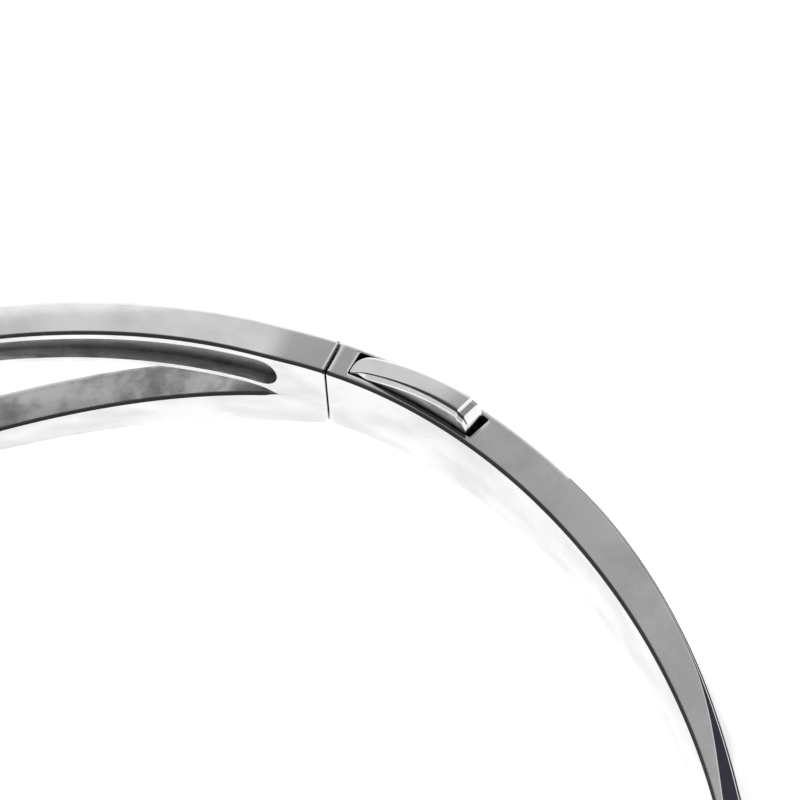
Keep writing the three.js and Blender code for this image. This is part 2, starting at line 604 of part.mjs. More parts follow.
// ---- Hinge ----------------------------------------------------------------------------------

addPiece("front_hinge_block", sweep(stations(HINGE_FORK, FRONT_HINGE_FACE, BLOCK_STEP), ovalPoint,
  frontBlockOutline), silver);

const KNUCKLE_HEIGHT = (BAND_WIDTH - 2 * KNUCKLE_GAP) / 3;
const FACE_Y = Math.abs(ovalPoint(BACK_HINGE_FACE, BARREL_RADIUS)[1]);

// A barrel round the pin with a web that reaches the end face of its own block.
function knuckle(low, side) {
  const reach = FACE_Y - WEB_GAP;
  const web = new THREE.BoxGeometry(BARREL_RADIUS * WEB_WIDTH, reach, KNUCKLE_HEIGHT);
  web.translate(HINGE_X, (side * reach) / 2, low + KNUCKLE_HEIGHT / 2);
  const barrel = join(post(HINGE_X, 0, BARREL_RADIUS, low, low + KNUCKLE_HEIGHT), web);
  return cut(barrel, post(HINGE_X, 0, HINGE_PIN_RADIUS + PIN_CLEARANCE, low - CUT_PAST,
    low + KNUCKLE_HEIGHT + CUT_PAST));
}

const knucklePitch = KNUCKLE_HEIGHT + KNUCKLE_GAP;
addPiece("front_lower_knuckle", knuckle(BAND_LOW, -1), silver);
addPiece("back_knuckle", knuckle(BAND_LOW + knucklePitch, 1), silver);
addPiece("front_upper_knuckle", knuckle(BAND_LOW + 2 * knucklePitch, -1), silver);
addPiece("hinge_pin", post(HINGE_X, 0, HINGE_PIN_RADIUS, BAND_LOW - PIN_STANDOUT, BAND_TOP + PIN_STANDOUT),
  brushed);

export default group;
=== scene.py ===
import json
import math
from collections import namedtuple

import bmesh
import bpy
from mathutils import Matrix, Quaternion, Vector


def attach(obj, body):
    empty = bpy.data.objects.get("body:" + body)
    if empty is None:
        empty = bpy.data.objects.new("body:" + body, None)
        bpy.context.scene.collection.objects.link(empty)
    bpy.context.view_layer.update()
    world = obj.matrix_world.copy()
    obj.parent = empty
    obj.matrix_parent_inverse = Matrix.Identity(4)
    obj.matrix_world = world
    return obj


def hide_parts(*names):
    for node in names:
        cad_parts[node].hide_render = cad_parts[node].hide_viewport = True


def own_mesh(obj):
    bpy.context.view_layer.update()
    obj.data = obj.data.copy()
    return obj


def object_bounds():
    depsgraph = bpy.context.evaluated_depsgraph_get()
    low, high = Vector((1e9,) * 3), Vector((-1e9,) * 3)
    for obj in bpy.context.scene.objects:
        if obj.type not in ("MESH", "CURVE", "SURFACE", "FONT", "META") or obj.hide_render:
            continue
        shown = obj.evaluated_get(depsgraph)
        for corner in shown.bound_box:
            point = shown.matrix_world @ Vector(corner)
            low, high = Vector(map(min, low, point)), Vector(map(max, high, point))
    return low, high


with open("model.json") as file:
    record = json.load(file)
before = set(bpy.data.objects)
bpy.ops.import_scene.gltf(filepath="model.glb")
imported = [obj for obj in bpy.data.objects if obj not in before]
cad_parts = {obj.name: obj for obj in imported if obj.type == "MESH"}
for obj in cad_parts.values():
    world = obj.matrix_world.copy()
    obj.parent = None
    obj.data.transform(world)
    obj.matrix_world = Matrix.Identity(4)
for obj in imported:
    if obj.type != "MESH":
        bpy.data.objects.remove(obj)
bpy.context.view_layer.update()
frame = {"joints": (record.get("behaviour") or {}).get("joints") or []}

# Hinged oval bangle in polished white metal: split front half, box clasp with a rocking thumb
# lever, and an outer strand that leaves the box and runs round the back. Sizes are in
# millimetres in the bangle's own frame and are turned into metres as each mesh is made.

MM = 0.001

# ---- Sizes --------------------------------------------------------------------------------
# They follow the solid model, but for a finer chamfer towards the wrist and a longer ledge on
# the lever's thumb end.

WRIST_LONG = 58.0
WRIST_SHORT = 50.0
OVAL_FULLNESS = 0.3
BAND_WIDTH = 3.1
SIDE_THICKNESS = 1.46
CROWN = 0.4
SHOULDER = 0.75
INNER_CHAMFER = 0.12
SEAM_ANGLE = 176.0
SEAM_GAP = 0.06
CLASP_BLOCK_LENGTH = 1.7
UPPER_FLARE = 3.78
UPPER_FLARE_START = 2.1
UPPER_FLARE_EASE = 0.6
LOWER_FLARE = 2.9
LOWER_FLARE_POWER = 0.72
LOWER_FLARE_SHARE = 0.9
UPPER_STRAND_WIDTH = (1.98, 1.67)
LOWER_STRAND_WIDTH = (1.78, 1.35)
STRAND_SETTLING = 13.0
FORK_WEB = (0.15, 1.6)
HOLLOW_RIM = 0.33
HOLLOW_DEPTH = 0.5
HOLLOW_START = 0.28
HOLLOW_ROUND = 0.75  # length of the rounded ends of the hollow
BOX_LENGTH = 9.95
BOX_THICKNESS = 1.6
BOX_CROWN_FADE = 0.75  # share of the crown that is gone at the band
BRIDGE_LENGTH = 0.76
BRIDGE_THICKNESS = 1.3
BOX_FLOOR = 0.45
RECESS_LENGTH = 5.45
RECESS_DEPTH = 0.82
RECESS_RIM = 0.3
RECESS_OUTER_WALL = 0.06
RECESS_CORNER = 0.09  # rounding in plan
SPRING_POCKET = (1.5, 0.78)
SPRING_POCKET_WALLS = (0.15, 0.2)
LEVER_RISE = 0.9
LEVER_TRAVEL = 8.0
LEVER_SIDE_GAP = 0.04
LEVER_END_GAP = 0.2
LEVER_START_GAP = 0.05
LEVER_LEDGE = 0.5
LEVER_CORNERS = (0.08, 0.45, 0.22)  # in plan: start inner, start outer, end outer
LEVER_BOW = 1.8
LEVER_FACET = (0.12, 0.25)
LEVER_UNDER_GAP = 0.05
SPRING_THICKNESS = 0.16
PIVOT_PLACE = 1.35
PIVOT_DEPTH = 0.42
PIVOT_RADIUS = 0.17
PIN_CLEARANCE = 0.03
PIN_INSET = 0.14
PIN_OUTER_GRIP = 0.25
TONGUE_REACH = 4.0
TONGUE_INSET = 0.27
TONGUE_THICKNESS = 0.45
TONGUE_HEIGHT = 0.4
TONGUE_ROOT = 1.0
TONGUE_CLEARANCE = 0.08
TONGUE_TIP_ROOM = 0.4
PLATE_FLOOR_GAP = 0.1
LEAF_THICKNESS = 0.24
LEAF_CATCH = 0.22
LEAF_END_GAP = 0.08
LEAF_BOW = 0.8
LEAF_SIDE_INSET = 0.02
FOOT_PLACE = 3.3
FOOT_LENGTH = 0.5
FOOT_SIDE_INSET = 0.04
BACK_BAND_THIN = 0.85
BACK_CROWN = 0.08
OUTER_BEVEL = (0.07, 0.7)  # on the band's outer upper edge: width near the box, and full
OUTER_BEVEL_START = 8.5  # from the box to where it begins to widen
OUTER_BEVEL_GROWTH = 8.0
OUTER_BEVEL_TILT = 27.0
OUTER_STRAND_THICKNESS = (0.14, 0.34, 0.8)
OUTER_STRAND_GROWTH = 3.2
OUTER_STRAND_INSET = 0.08
OUTER_STRAND_POINT = 1.8  # 1 would be half round, 2 a sharp ridge at each side edge
OUTER_STRAND_LIFT = 0.3
OUTER_STRAND_LIFT_START = 15.0
THINNING_LENGTH = 17.0
HINGE_FACE_GAP = 0.21
HINGE_BLOCK_LENGTH = 2.1
HINGE_BLOCK_CROWN = 0.1
BARREL_RADIUS = 0.81
HINGE_PIN_RADIUS = 0.33
KNUCKLE_GAP = 0.06
PIN_STANDOUT = 0.05
SOLDER_GAP = 0.03
CUT_OVERLAP = 0.05  # how far one cut runs into the next

BAND_LOW = LOWER_FLARE
BAND_TOP = BAND_LOW + BAND_WIDTH
FULL_THICKNESS = SIDE_THICKNESS + CROWN
RECESS_FLOOR = BAND_TOP - RECESS_DEPTH
RECESS_OUTER = SIDE_THICKNESS - RECESS_OUTER_WALL
RECESS_END = BRIDGE_LENGTH + RECESS_LENGTH
PIVOT_HEIGHT = BAND_TOP - PIVOT_DEPTH
BRIDGE_UNDERSIDE = BAND_TOP - BRIDGE_THICKNESS
TONGUE_WAY_FLOOR = BAND_LOW + BOX_FLOOR
PLATE_LOW = TONGUE_WAY_FLOOR + PLATE_FLOOR_GAP
PLATE_HIGH = PLATE_LOW + TONGUE_HEIGHT

hinge_joint = next(j for j in frame["joints"] if j["name"] == "bangle_hinge")
HINGE_X = hinge_joint["pos_m"][0] / MM
CENTRE_Y = hinge_joint["pos_m"][1] / MM

FINE_STEP = 0.2  # between the sections of the short pieces
LONG_STEP = 0.42  # between the sections of the strands and the band
FORK_STEP = 0.14  # between the sections beside the forks and under the lever's top
EDGE_STEPS = 4  # facets round a broken edge


def mix(a, b, t):
    return a + (b - a) * t


def clamp(x, low=0.0, high=1.0):
    return max(low, min(high, x))


def smooth(x):
    x = clamp(x)
    return x * x * (3 - 2 * x)


# ---- The oval -----------------------------------------------------------------------------

OVAL_MEAN = (WRIST_LONG + WRIST_SHORT) / 4 - OVAL_FULLNESS
OVAL_STRETCH = (WRIST_LONG - WRIST_SHORT) / 4


def oval_point(angle, offset):
    a = math.radians(angle)
    reach = OVAL_MEAN + OVAL_STRETCH * math.cos(2 * a) + OVAL_FULLNESS * math.cos(4 * a) + offset
    turn = -2 * OVAL_STRETCH * math.sin(2 * a) - 4 * OVAL_FULLNESS * math.sin(4 * a)
    return reach * math.cos(a) - turn * math.sin(a), reach * math.sin(a) + turn * math.cos(a)


def oval_length(angle):
    a = math.radians(angle)
    stretch = 1.5 * OVAL_STRETCH * math.sin(2 * a)
    fullness = 3.75 * OVAL_FULLNESS * math.sin(4 * a)
    return OVAL_MEAN * a - stretch - fullness


def angle_at(start, length):
    target = oval_length(start) + length
    low, high = start - 200, start + 200
    for _ in range(50):
        middle = (low + high) / 2
        if oval_length(middle) < target:
            low = middle
        else:
            high = middle
    return (low + high) / 2


def back_angle(length):
    return angle_at(SEAM_ANGLE, -length)


def front_angle(length):
    return angle_at(SEAM_ANGLE, length)


def on_back(length, offset):
    return oval_point(back_angle(length), offset)


BACK_HINGE_FACE = angle_at(0, BARREL_RADIUS + HINGE_FACE_GAP)
FRONT_HINGE_FACE = 360 - BACK_HINGE_FACE
BACK_LENGTH = oval_length(SEAM_ANGLE) - oval_length(BACK_HINGE_FACE)
BACK_END = BACK_LENGTH - HINGE_BLOCK_LENGTH
FRONT_LENGTH = oval_length(FRONT_HINGE_FACE) - oval_length(SEAM_ANGLE)
FRONT_END = FRONT_LENGTH - HINGE_BLOCK_LENGTH


def on_front(length, offset):
    return oval_point(front_angle(length), offset)


SEAM_POINT = oval_point(SEAM_ANGLE, 0)
SWING_RADIUS = math.hypot(SEAM_POINT[0] - HINGE_X, SEAM_POINT[1])
SWING_ANGLE = math.atan2(SEAM_POINT[1], SEAM_POINT[0] - HINGE_X)


def swing_point(distance, inset):
    """A point on the arc that the tongue swings through, into the box from the seam."""
    angle = SWING_ANGLE - distance / SWING_RADIUS
    radius = SWING_RADIUS + inset
    return HINGE_X + radius * math.cos(angle), radius * math.sin(angle)


def outward(point):
    """The outward direction of the oval beside a point, how far out it lies, and its length from the seam."""
    x, y = point.x, point.y - CENTRE_Y
    angle = math.degrees(math.atan2(y, x))
    for _ in range(6):
        near = oval_point(angle, 0)
        aside = (y - near[1]) * math.cos(math.radians(angle)) - (x - near[0]) * math.sin(math.radians(angle))
        angle += math.degrees(aside / (OVAL_MEAN + 1))
    near = oval_point(angle, 0)
    direction = Vector((math.cos(math.radians(angle)), math.sin(math.radians(angle)), 0))
    out = (x - near[0]) * direction.x + (y - near[1]) * direction.y
    return direction, out, abs(oval_length(angle % 360) - oval_length(SEAM_ANGLE))


# ---- Outlines and sweeps ------------------------------------------------------------------


def stations(start, end, step):
    count = max(1, math.ceil(abs(end - start) / step))
    return [mix(start, end, i / count) for i in range(count + 1)]


def broken(corners, steps=EDGE_STEPS, guard=0.012):
    """An outline with its edges broken: each corner is (offset, height, radius), and a guard
    point beside each arc keeps the flats flat."""
    points = []
    count = len(corners)
    for i, (u, v, radius) in enumerate(corners):
        here = Vector((u, v))
        if radius <= 0:
            points.append((u, v))
            continue
        before = Vector(corners[i - 1][:2]) - here
        after = Vector(corners[(i + 1) % count][:2]) - here
        reach = min(radius, before.length * 0.45, after.length * 0.45)
        first = here + before.normalized() * reach
        last = here + after.normalized() * reach
        fence = min(guard, reach * 0.5)
        points.append(tuple(first + before.normalized() * fence))
        for k in range(steps + 1):
            t = k / steps
            points.append(tuple(first * (1 - t) ** 2 + here * (2 * t * (1 - t)) + last * t * t))
        points.append(tuple(last + after.normalized() * fence))
    return points


def shrunk(outline, amount):
    """The outline moved inwards by an amount, for the broken edge of an end face."""
    if amount <= 0:
        return outline
    area = sum(a[0] * b[1] - b[0] * a[1] for a, b in zip(outline, outline[1:] + outline[:1]))
    side = 1 if area > 0 else -1
    moved = []
    for i, here in enumerate(outline):
        a, b = Vector(outline[i - 1]), Vector(outline[(i + 1) % len(outline)])
        along = (b - a)
        if along.length < 1e-9:
            moved.append(here)
            continue
        along.normalize()
        moved.append((here[0] - side * along.y * amount, here[1] + side * along.x * amount))
    return moved


def ended(span, first_edge, last_edge, steps=3):
    """Stations of a sweep as (place, inset of the outline), with broken edges at the ends."""
    start, end = span[0], span[-1]
    way = 1 if end > start else -1
    rows = []

    def edge(at, direction, size):
        length, inset = size
        out = []
        for k in range(steps + 1):
            turn = math.pi / 2 * k / steps
            out.append((at + direction * length * (1 - math.cos(turn)), inset * (1 - math.sin(turn))))
        return out

    first_edge, last_edge = ((e, e) if isinstance(e, (int, float)) else e for e in (first_edge, last_edge))
    rows += edge(start, way, first_edge) if first_edge[0] else [(start, 0)]
    near, far = (1.3 * e[0] for e in (first_edge, last_edge))
    inner = [s for s in span if (s - start) * way > near and (end - s) * way > far]
    rows += [(s, 0) for s in inner]
    rows += edge(end, -way, last_edge)[::-1] if last_edge[0] else [(end, 0)]
    return rows


def skinned(name, rings):
    """A closed skin over rings of points, with a face over each end."""
    mesh = bpy.data.meshes.new(name)
    bm = bmesh.new()
    rows = [[bm.verts.new(point) for point in ring] for ring in rings]
    for near, far in zip(rows, rows[1:]):
        for i in range(len(near)):
            j = (i + 1) % len(near)
            bm.faces.new((near[i], near[j], far[j], far[i]))
    bm.faces.new(rows[0][::-1])
    bm.faces.new(rows[-1])
    bmesh.ops.recalc_face_normals(bm, faces=bm.faces)
    bm.to_mesh(mesh)
    bm.free()
    obj = bpy.data.objects.new(name, mesh)
    bpy.context.scene.collection.objects.link(obj)
    return obj


def sweep(name, span, place, outline, first_edge=0.0, last_edge=0.0):
    """A closed solid through a row of outlines, as a new mesh object."""
    rings = []
    for station, inset in ended(span, first_edge, last_edge):
        ring = []
        for offset, height in shrunk(outline(station), inset):
            x, y = place(station, offset)
            ring.append((x, y + CENTRE_Y, height))
        rings.append(ring)
    return skinned(name, rings)


def turned(name, centre, axis, profile, steps=48):
    """A solid turned about an axis: profile is (distance along the axis, radius)."""
    spin = Vector(axis).normalized().to_track_quat("Z", "X")
    turns = [2 * math.pi * k / steps for k in range(steps)]
    rings = []
    for along, radius in profile:
        rings.append([spin @ Vector((radius * math.cos(a), radius * math.sin(a), along)) + Vector(centre)
                      for a in turns])
    return skinned(name, rings)


def apply_modifier(obj):
    """The mesh as its modifiers leave it, and the modifiers gone."""
    depsgraph = bpy.context.evaluated_depsgraph_get()
    made = bpy.data.meshes.new_from_object(obj.evaluated_get(depsgraph))
    obj.modifiers.clear()
    obj.data = made


def carve(obj, cutter, operation="DIFFERENCE"):
    """Cuts the cutter out of obj, or joins it on, and removes the cutter."""
    modifier = obj.modifiers.new("carve", "BOOLEAN")
    modifier.operation = operation
    modifier.solver = "EXACT"
    modifier.object = cutter
    apply_modifier(obj)
    bpy.data.objects.remove(cutter)


def break_edges(obj, pick, width, segments=3):
    """Breaks the edges that pick(edge) chooses, by a width in millimetres."""
    bm = bmesh.new()
    bm.from_mesh(obj.data)
    chosen = [e for e in bm.edges if len(e.link_faces) == 2 and pick(e)]
    bmesh.ops.bevel(bm, geom=chosen, offset=width, offset_type="OFFSET", segments=segments,
                    profile=0.5, affect="EDGES", clamp_overlap=True)
    bm.to_mesh(obj.data)
    bm.free()


def finish_surface(obj, sharp=32):
    """Smooth faces with crisp lines only where the surface really turns."""
    for polygon in obj.data.polygons:
        polygon.use_smooth = True
    obj.data.set_sharp_from_angle(angle=math.radians(sharp))
    modifier = obj.modifiers.new("even_shading", "WEIGHTED_NORMAL")
    modifier.keep_sharp = True


def mark_rubbed_edges(obj):
    """Marks the points that lie on broken outward edges, for the wear on them."""
    bm = bmesh.new()
    bm.from_mesh(obj.data)
    bm.verts.ensure_lookup_table()
    marks = [0.0] * len(bm.verts)
    for edge in bm.edges:
        if len(edge.link_faces) != 2:
            continue
        turn = math.degrees(edge.calc_face_angle_signed(0))
        if 11 < turn < 50:
            for vert in edge.verts:
                marks[vert.index] = 1.0
    bm.free()
    rubbed = obj.data.attributes.new("rubbed", "FLOAT", "POINT")
    rubbed.data.foreach_set("value", marks)


# ---- Sections -----------------------------------------------------------------------------


def band_outline(low, high, thickness, crown, low_shoulder=SHOULDER, high_shoulder=SHOULDER,
                 dome=0.0, chamfer=INNER_CHAMFER, inner_edge=0.03, low_chamfer=None, high_chamfer=None):
    """Flat or slightly domed side edges, broken towards the wrist, with a crowned outer face."""
    reach = high - low
    low_shoulder = min(low_shoulder, reach * 0.4)
    high_shoulder = min(high_shoulder, reach * 0.4)
    low_chamfer = chamfer if low_chamfer is None else low_chamfer
    high_chamfer = chamfer if high_chamfer is None else high_chamfer
    points = broken([(0, high - high_chamfer, 0), (0, low + low_chamfer, inner_edge),
                     (low_chamfer, low, inner_edge), (thickness, low, 0)], 2)[1:-1]
    arc = [math.radians(a) for a in range(0, 91, 9)]
    side = thickness - chamfer

    def domed(u):
        share = clamp((u - chamfer) / side)
        return dome * share ** 2.2

    for u in (0.3, 0.5, 0.7, 0.85, 0.95):
        place = chamfer + side * u
        points.append((place, low + domed(place)))
    for a in arc:
        rise = (low_shoulder - dome) * (1 - math.cos(a))
        points.append((thickness + crown * math.sin(a), low + dome + rise))
    for a in reversed(arc):
        fall = (high_shoulder - dome) * (1 - math.cos(a))
        points.append((thickness + crown * math.sin(a), high - dome - fall))
    for u in (0.95, 0.85, 0.7, 0.5, 0.3):
        place = chamfer + side * u
        points.append((place, high - domed(place)))
    points += broken([(thickness, high, 0), (high_chamfer, high, inner_edge),
                      (0, high - high_chamfer, inner_edge), (0, low + low_chamfer, 0)], 2)[1:-1]
    return points


def bar_outline(low, high, inner, outer, edge=0.03):
    return broken([(inner, low, edge), (outer, low, edge), (outer, high, edge), (inner, high, edge)], 3)


def box_thickness(length):
    return mix(SIDE_THICKNESS, BOX_THICKNESS, smooth(length / BOX_LENGTH))


def box_crown(length):
    return CROWN * (1 - BOX_CROWN_FADE * smooth(length / BOX_LENGTH))


def box_outline(length):
    return band_outline(BAND_LOW, BAND_TOP, box_thickness(length), box_crown(length))


def corner_pull(distance, radius):
    """How far a side draws in at a distance from an end, for a corner rounded in plan."""
    short = clamp(radius - distance, 0, radius)
    return radius - math.sqrt(radius ** 2 - short ** 2)


# ---- Clasp box ----------------------------------------------------------------------------


def clasp_box():
    box = sweep("clasp_box_polished", stations(SEAM_GAP / 2, BOX_LENGTH + SOLDER_GAP, FINE_STEP),
                on_back, box_outline, first_edge=0.05)

    def tongue_way(start, low, high):
        return sweep("tongue_way", stations(start, TONGUE_REACH + TONGUE_TIP_ROOM, FINE_STEP), swing_point,
                     lambda s: bar_outline(low, high, TONGUE_INSET - TONGUE_CLEARANCE,
                                           TONGUE_INSET + TONGUE_THICKNESS + TONGUE_CLEARANCE, 0.04))

    def recess_outline(length):
        nearest = min(length - BRIDGE_LENGTH, RECESS_END - length)
        pull = corner_pull(nearest, RECESS_CORNER)
        inner, outer = RECESS_RIM + pull, RECESS_OUTER - pull
        return [(inner, RECESS_FLOOR), (outer, RECESS_FLOOR), (outer, BAND_TOP + 1), (inner, BAND_TOP + 1)]

    fine = [0, 0.01, 0.03, 0.06, RECESS_CORNER]
    span = ([BRIDGE_LENGTH + s for s in fine] + stations(BRIDGE_LENGTH + 0.3, RECESS_END - 0.3, 0.25)
            + [RECESS_END - s for s in reversed(fine)])
    carve(box, sweep("recess", span, on_back, recess_outline))
    carve(box, tongue_way(-0.5, TONGUE_WAY_FLOOR, BRIDGE_UNDERSIDE))
    carve(box, tongue_way(BRIDGE_LENGTH, TONGUE_WAY_FLOOR, RECESS_FLOOR + CUT_OVERLAP))
    pocket_length, pocket_depth = SPRING_POCKET
    inner_wall, outer_wall = SPRING_POCKET_WALLS
    carve(box, sweep("spring_pocket", stations(RECESS_END - pocket_length, RECESS_END, FINE_STEP), on_back,
                     lambda s: bar_outline(RECESS_FLOOR - pocket_depth, RECESS_FLOOR + CUT_OVERLAP,
                                           RECESS_RIM + inner_wall, RECESS_OUTER - outer_wall)))

    def recess_lip(edge):
        ups = sorted(abs(f.normal.z) for f in edge.link_faces)
        level = all(abs(v.co.z - BAND_TOP) < 0.002 for v in edge.verts)
        beside = all(0.3 < outward(v.co)[2] < RECESS_END + 0.3 for v in edge.verts)
        return level and beside and ups[0] < 0.3 and ups[1] > 0.9

    break_edges(box, recess_lip, 0.035)
    return box


# ---- Band and outer strand round the back -------------------------------------------------


def back_run(length):
    """How far a place is from the box or the hinge block, whichever is nearer."""
    return min(length - BOX_LENGTH, BACK_END - length)


def back_thickness(length):
    return mix(BOX_THICKNESS, BACK_BAND_THIN, smooth(back_run(length) / THINNING_LENGTH))


def outer_bevel(length):
    """The bevel on the band's outer upper edge, as its width and how far down it reaches."""
    width = mix(*OUTER_BEVEL, smooth((back_run(length) - OUTER_BEVEL_START) / OUTER_BEVEL_GROWTH))
    return width, width * math.tan(math.radians(OUTER_BEVEL_TILT))


def back_band():
    def outline(length):
        thickness = back_thickness(length) + BACK_CROWN
        bevel, drop = outer_bevel(length)
        chamfer, edge = INNER_CHAMFER, 0.03
        return broken([(0, BAND_TOP - chamfer, edge), (0, BAND_LOW + chamfer, edge),
                       (chamfer, BAND_LOW, edge), (thickness, BAND_LOW, 0.1),
                       (thickness, BAND_TOP - drop, 0.05),
                       (thickness - bevel, BAND_TOP, 0.02), (chamfer, BAND_TOP, edge)], 3)

    return sweep("back_band_polished", stations(BOX_LENGTH + SOLDER_GAP, BACK_END, LONG_STEP),
                 on_back, outline)


def outer_strand():
    longest = (BACK_END - BOX_LENGTH) / 2
    start, grown, full = OUTER_STRAND_THICKNESS
    turns = [math.radians(a) for a in range(-84, 85, 6)]

    def outline(length):
        run = max(back_run(length), 0)
        lifted = smooth((run - OUTER_STRAND_LIFT_START) / (longest - OUTER_STRAND_LIFT_START))
        inner = back_thickness(length) + BACK_CROWN + SOLDER_GAP + OUTER_STRAND_LIFT * lifted
        thickness = (start + (grown - start) * smooth(run / OUTER_STRAND_GROWTH)
                     + (full - grown) * smooth(run / THINNING_LENGTH))
        low = BAND_LOW + OUTER_STRAND_INSET
        high = BAND_TOP - OUTER_STRAND_INSET - outer_bevel(length)[1]
        middle, half = (low + high) / 2, (high - low) / 2
        points = [(inner, high), (inner, low)]
        for turn in turns:
            out = thickness * math.cos(turn) ** OUTER_STRAND_POINT
            up = math.copysign(abs(math.sin(turn)) ** OUTER_STRAND_POINT, turn)
            points.append((inner + 0.02 + out * 0.97, middle + half * up))
        return points

    return sweep("back_outer_strand_polished", stations(BOX_LENGTH + SOLDER_GAP, BACK_END, LONG_STEP),
                 on_back, outline, first_edge=0.04, last_edge=0.04)


def back_hinge_block():
    def outline(length):
        share = smooth((length - BACK_END) / HINGE_BLOCK_LENGTH)
        return band_outline(BAND_LOW, BAND_TOP, mix(BOX_THICKNESS, SIDE_THICKNESS, share),
                            mix(HINGE_BLOCK_CROWN, CROWN, share))

    return sweep("back_hinge_block_polished", stations(BACK_END, BACK_LENGTH, FINE_STEP), on_back,
                 outline, last_edge=0.06)


# ---- Push lever, pin, foot and spring -----------------------------------------------------

LEVER_START = BRIDGE_LENGTH + LEVER_START_GAP
LEVER_END = RECESS_END - LEVER_END_GAP
LEVER_INNER = RECESS_RIM + LEVER_SIDE_GAP
LEVER_OUTER = RECESS_OUTER - LEVER_SIDE_GAP


def lever_underside(length):
    slope = math.tan(math.radians(LEVER_TRAVEL))
    return RECESS_FLOOR + LEVER_UNDER_GAP + max(0, length - PIVOT_PLACE) * slope


LEDGE_START = LEVER_END - LEVER_LEDGE
LEVER_SUMMIT = BAND_TOP + LEVER_RISE
# the thumb end as (distance, drop): a bevel, a ledge and a leaning end face
THUMB_END = [(0, 0), (0.08, 0.11), (0.1, 0.12), (0.28, 0.16), (0.3, 0.175), (0.48, 0.44),
             (LEVER_LEDGE, 0.48)]


def lever_top(length):
    if length < LEDGE_START:
        rising = clamp((length - LEVER_START) / (LEDGE_START - LEVER_START))
        return BAND_TOP + LEVER_RISE * (1 - (1 - rising) ** LEVER_BOW)
    for (near, near_drop), (far, far_drop) in zip(THUMB_END, THUMB_END[1:]):
        if length - LEDGE_START <= far + 1e-6:
            return LEVER_SUMMIT - mix(near_drop, far_drop, (length - LEDGE_START - near) / (far - near))
    return LEVER_SUMMIT - THUMB_END[-1][1]


def pivot_line():
    """The pivot pin's start on the inner face, and its outward direction."""
    angle = back_angle(PIVOT_PLACE)
    x, y = oval_point(angle, 0)
    return (x, y + CENTRE_Y, PIVOT_HEIGHT), (math.cos(math.radians(angle)), math.sin(math.radians(angle)), 0)


def push_lever():
    start_inner, start_outer, end_outer = LEVER_CORNERS

    def outline(length):
        top, under = lever_top(length), lever_underside(length)
        inner = LEVER_INNER + corner_pull(length - LEVER_START, start_inner)
        outer = LEVER_OUTER - max(corner_pull(length - LEVER_START, start_outer),
                                  corner_pull(LEVER_END - length, end_outer))
        facet_width, facet_height = LEVER_FACET
        lean = clamp((top - BAND_TOP) / 0.2) * facet_width + 0.02
        facet = min(facet_height, (top - under) * 0.5)
        ridge = mix(0.03, 0.1, smooth((length - LEVER_START) / (LEVER_END - LEVER_START)))
        return broken([(inner, under, 0.02), (outer, under, 0.02), (outer, top - 0.12, 0.1),
                       (outer - 0.13, top, 0.1), (inner + lean, top, ridge), (inner, top - facet, 0.03)])

    start_rows = [LEVER_START + s for s in (0, 0.01, 0.03, 0.06, 0.1, 0.16, 0.23, 0.31, 0.4)]
    ledge_rows = {LEDGE_START + row[0] for row in THUMB_END}
    end_rows = sorted(ledge_rows | {LEVER_END - s for s in (end_outer, 0.15, 0.09, 0.01)})
    span = start_rows + stations(LEVER_START + 0.5, LEDGE_START - 0.05, FORK_STEP) + end_rows
    lever = sweep("push_lever_polished", span, on_back, outline)
    past = 0.5  # of the pin hole's cutter, on both sides of the lever
    radius = PIVOT_RADIUS + PIN_CLEARANCE
    carve(lever, turned("pin_hole", *pivot_line(), [(-past, radius), (FULL_THICKNESS + past, radius)], 32))
    return lever


def lever_pivot_pin():
    end = RECESS_OUTER + PIN_OUTER_GRIP
    edge = 0.04
    profile = [(PIN_INSET, PIVOT_RADIUS - edge), (PIN_INSET + edge, PIVOT_RADIUS),
               (end - edge, PIVOT_RADIUS), (end, PIVOT_RADIUS - edge)]
    return turned("lever_pivot_pin_drawn", *pivot_line(), profile, 32)


def leaf_low(distance):
    end = BRIDGE_LENGTH + LEAF_END_GAP
    share = clamp((TONGUE_REACH - distance) / (TONGUE_REACH - end))
    catch_low = BRIDGE_UNDERSIDE + LEAF_CATCH - LEAF_THICKNESS
    return mix(PLATE_HIGH + SOLDER_GAP, catch_low, share ** LEAF_BOW)


def lever_foot():
    start = FOOT_PLACE - FOOT_LENGTH / 2
    bottom = leaf_low(start) + LEAF_THICKNESS + SOLDER_GAP
    top = lever_underside(start)
    return sweep("lever_foot_filed", stations(start, start + FOOT_LENGTH, FINE_STEP), swing_point,
                 lambda s: bar_outline(bottom, top, TONGUE_INSET + FOOT_SIDE_INSET,
                                       TONGUE_INSET + TONGUE_THICKNESS),
                 first_edge=0.03, last_edge=0.03)


def lever_spring():
    pocket_length, pocket_depth = SPRING_POCKET
    start = RECESS_END - 0.06
    end = RECESS_END - pocket_length + 0.14

    def outline(length):
        share = smooth((start - length) / (start - end))
        standing = lever_underside(end) - SOLDER_GAP - SPRING_THICKNESS
        low = mix(RECESS_FLOOR - pocket_depth + 0.04, standing, share)
        return bar_outline(low, low + SPRING_THICKNESS, RECESS_RIM + 0.25, RECESS_OUTER - 0.3, 0.03)

    return sweep("lever_spring_rolled", stations(start, end, 0.1), on_back, outline)


# ---- Front half ---------------------------------------------------------------------------

CLASP_FORK = front_angle(CLASP_BLOCK_LENGTH)
HINGE_FORK = angle_at(FRONT_HINGE_FACE, -HINGE_BLOCK_LENGTH)
STRAND_DOME = 0.11  # fall of a front strand's side edge towards its outer face
DOME_GROWTH = 9.0  # length over which it comes in


def front_run(length):
    return min(length, FRONT_LENGTH - length)


